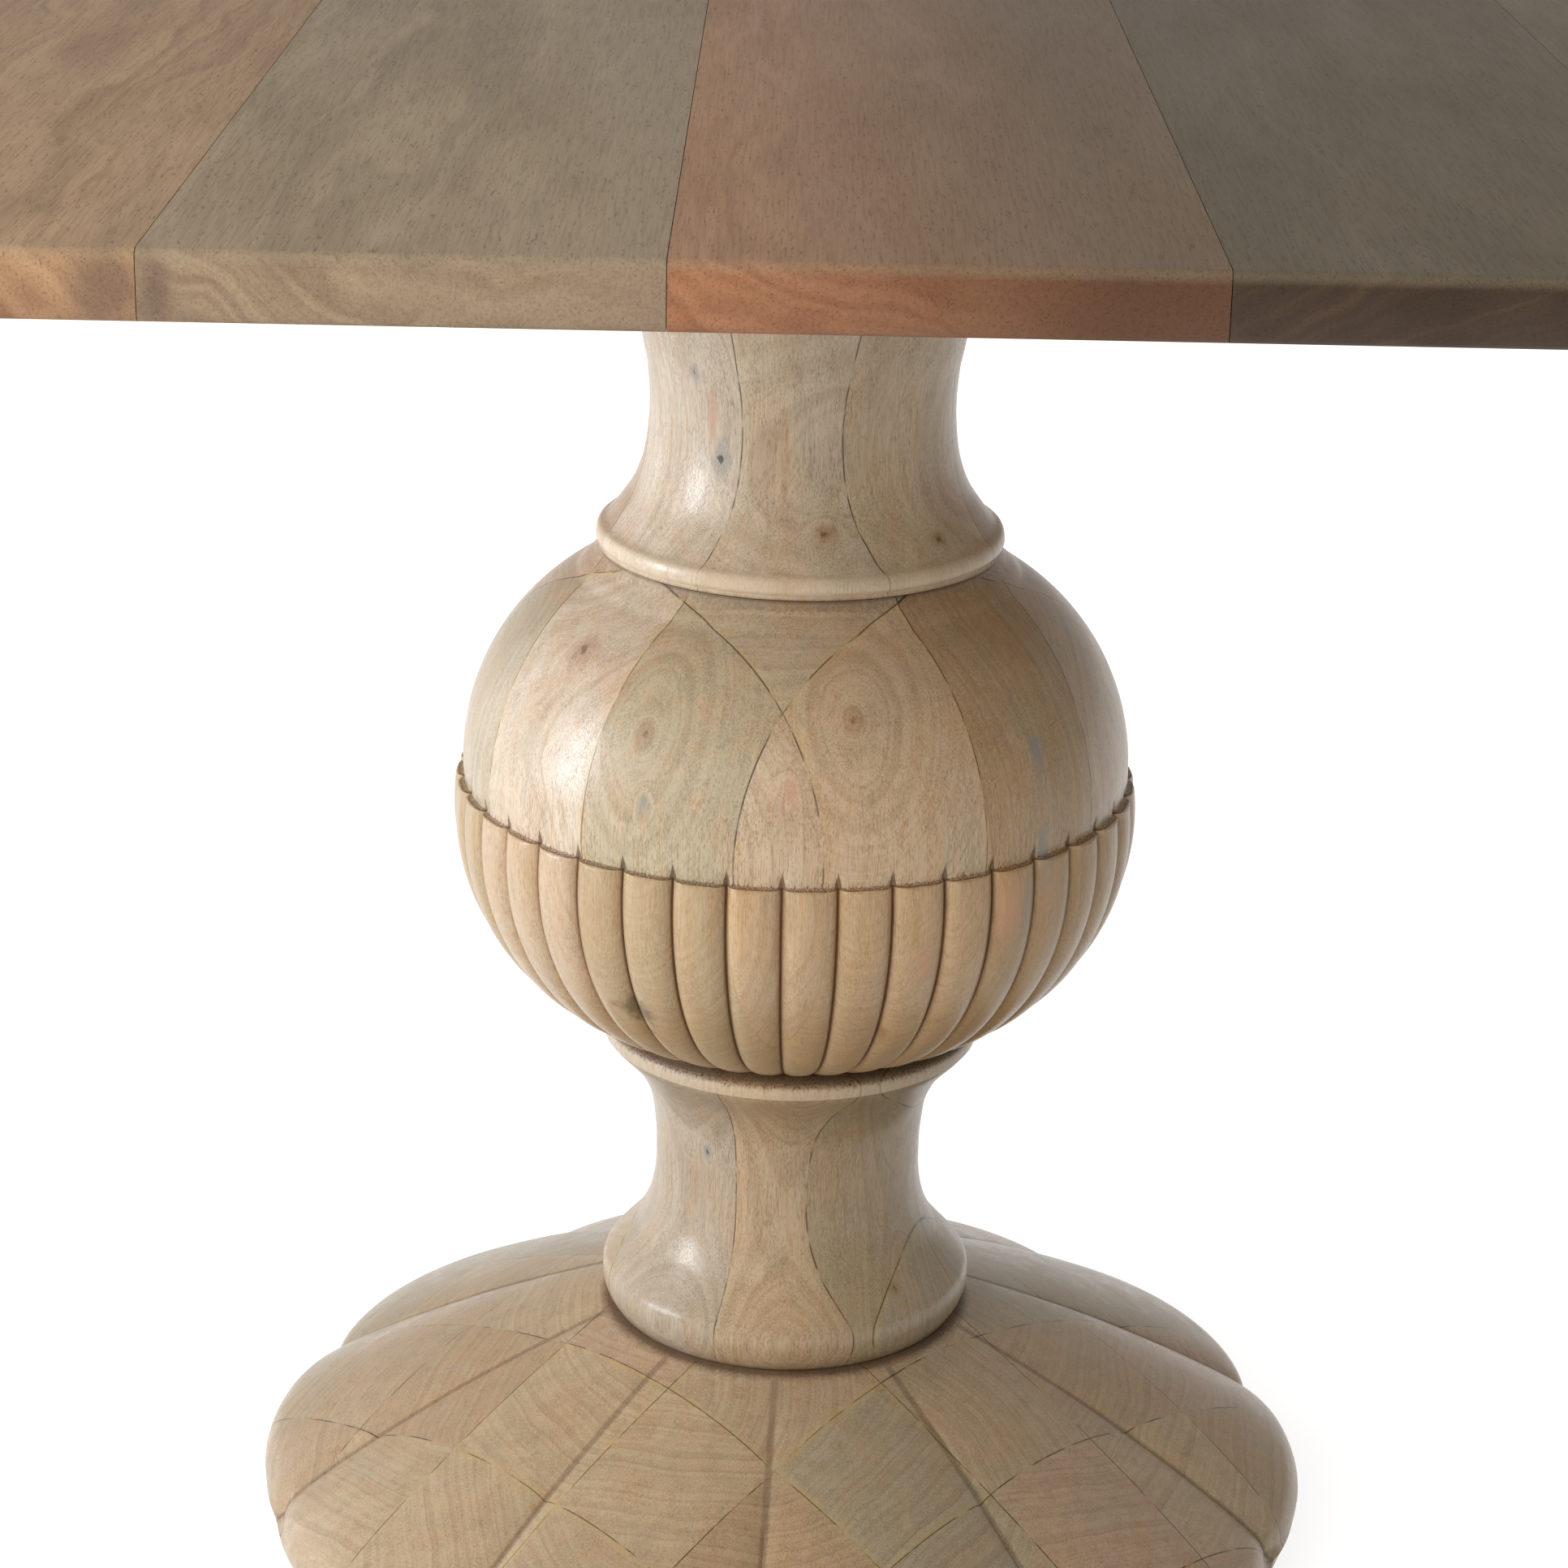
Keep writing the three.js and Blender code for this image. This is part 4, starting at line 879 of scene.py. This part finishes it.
# Name, wood, dark and light rings, pith, seed, fade and patches of each plank, from the left.
planks = [
    ("mango plank, orange brown", "#a87d58", "#7c5b42", "#bd9166", (-430, 560), 1.0),
    ("mango plank, light orange brown", "#b78e68", "#886046", "#c49f7a", (-300, 690), 12.0, None,
     [((-232, -500, 748), 16, 16, "#6f584a", 0.7)]),
    ("mango plank, grey beige", "#a38b70", "#85705a", "#ae997d", (-60, 980), 23.0,
     (-130, -40, "#97816a"), [((-214, -508, 748), 7, 16, "#776252", 0.8)]),
    ("mango plank, terracotta", "#b9815c", "#986546", "#c08d69", (90, 1010), 34.0,
     (-66, 100, "#5e3d27")),
    ("mango plank, dark brown", "#42301f", "#332518", "#523d2a", (250, 640), 45.0),
    ("mango plank, olive brown", "#574533", "#413226", "#65513e", (520, 900), 56.0),
]
for number, wood in enumerate(planks, 1):
    dress(plank(number), plank_wood(*wood))


# ---------- what holds it together ----------

fittings = {
    ("front_cleat", "back_cleat", "cross_bearer"):
        plain_board("beech, sawn and sanded, across", "#b3926f", "#a17f5b", 0, 3.0),
    ("long_bearer", "top_spline"):
        plain_board("beech, sawn and sanded, front to back", "#b3926f", "#a17f5b", 1, 8.0),
    ("dowel",): plain_board("beech dowel, milled", "#d3b68c", "#c29f71", 2, 5.0),
    ("foot_stem", "tie_rod", "upper_nut", "upper_washer", "lower_nut", "lower_washer",
     "cleat_screw", "bearer_screw"):
        bright_metal("zinc plated steel, bright", "#b4b5b6", 0.3, 0.5),
    ("foot_insert",): bright_metal("brass, turned", "#c9a759", 0.28, 0.4),
    ("foot_pad",): moulded_nylon("nylon, moulded", "#2c2c2d"),
}
for beginnings, finish in fittings.items():
    for name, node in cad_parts.items():
        if name.startswith(beginnings):
            for material_slot in node.material_slots:
                material_slot.material = finish


# ---------- floor, light and camera ----------

def studio_floor():
    """Matt pale grey paper that keeps the table's shadow and reads white to the eye."""
    bpy.ops.object.select_all(action="DESELECT")
    bpy.ops.mesh.primitive_plane_add(size=60, location=(0, 0, 0))
    floor = bpy.context.object
    floor.name = "paper_floor"
    finish, add, place = new_finish("matt pale paper")
    mottle = figure(add, place, (300, 300, 300), 2, 1.0)
    paper = add("BsdfDiffuse", {"Color": coated(add, linear("#bdbcba"), (WASH, mottle, "#c4c3c1"))})
    rays = add("LightPath")
    seen = rays
    for kind in ("Is Glossy Ray", "Is Transmission Ray"):
        seen = add("Math", {0: seen, 1: rays.node.outputs[kind]}, operation="MAXIMUM")
    glow = add("Math", {0: seen, 1: 0.79}, operation="MULTIPLY")
    glow = add("Emission", {"Color": (1, 1, 1, 1), "Strength": glow})
    add("OutputMaterial", {"Surface": add("AddShader", {0: paper, 1: glow})})
    dress(floor, finish)


def window(name, bearing, rise, distance, size, power, tint, seen_in_gloss=True):
    """A soft rectangular light that faces the globe."""
    a, e = math.radians(bearing), math.radians(rise)
    towards = Vector((math.sin(a) * math.cos(e), -math.cos(a) * math.cos(e), math.sin(e)))
    globe_middle = Vector((0, 0, 0.42))
    bpy.ops.object.light_add(type="AREA", location=towards * distance + globe_middle)
    light = bpy.context.object
    light.name = name
    light.rotation_euler = towards.to_track_quat("Z", "Y").to_euler()
    light.data.shape = "RECTANGLE"
    light.data.size, light.data.size_y = size
    light.data.energy = power
    light.data.color = tint
    light.visible_glossy = seen_in_gloss


studio_floor()
window("left_window", -80, 11, 2.4, (0.42, 1.1), 37, (0.87, 0.93, 1.0))
window("back_window", -122, 8, 2.8, (1.3, 1.5), 10, (1, 1, 1))
window("front_fill", -30, 23, 2.8, (2.2, 1.1), 47, (1, 1, 1), False)
window("back_fill", 168, 18, 3.0, (2.2, 1.4), 14, (1, 0.98, 0.95), False)

# The air lights the table warmly, and is white where the camera sees it past the floor.
AIR = 0.43
world = bpy.data.worlds.new("studio air")
bpy.context.scene.world = world
world.use_nodes = True
world.node_tree.nodes.clear()
add = adder(world.node_tree)
seen = add("LightPath")
strength = add("Math", {0: seen, 1: 1 - AIR, 2: AIR}, operation="MULTIPLY_ADD")
hue = add("Mix", {0: seen, 6: (1, 0.97, 0.93, 1), 7: (1, 1, 1, 1)}, out=2, data_type="RGBA")
add("OutputWorld", {"Surface": add("Background", {"Color": hue, "Strength": strength})})

look_down, lean_over = 19.91, 1.15
bpy.ops.object.camera_add(location=(-0.0053, -1.780, 1.0415))
camera = bpy.context.object
camera.name = "studio_camera"
camera.rotation_euler = (Matrix.Rotation(math.radians(90 - look_down), 3, "X")
                         @ Matrix.Rotation(math.radians(lean_over), 3, "Z")).to_euler()
camera.data.sensor_width = 36
camera.data.lens = 90.84
camera.data.clip_end = 100
bpy.context.scene.camera = camera
bpy.context.scene.view_settings.view_transform = "Standard"
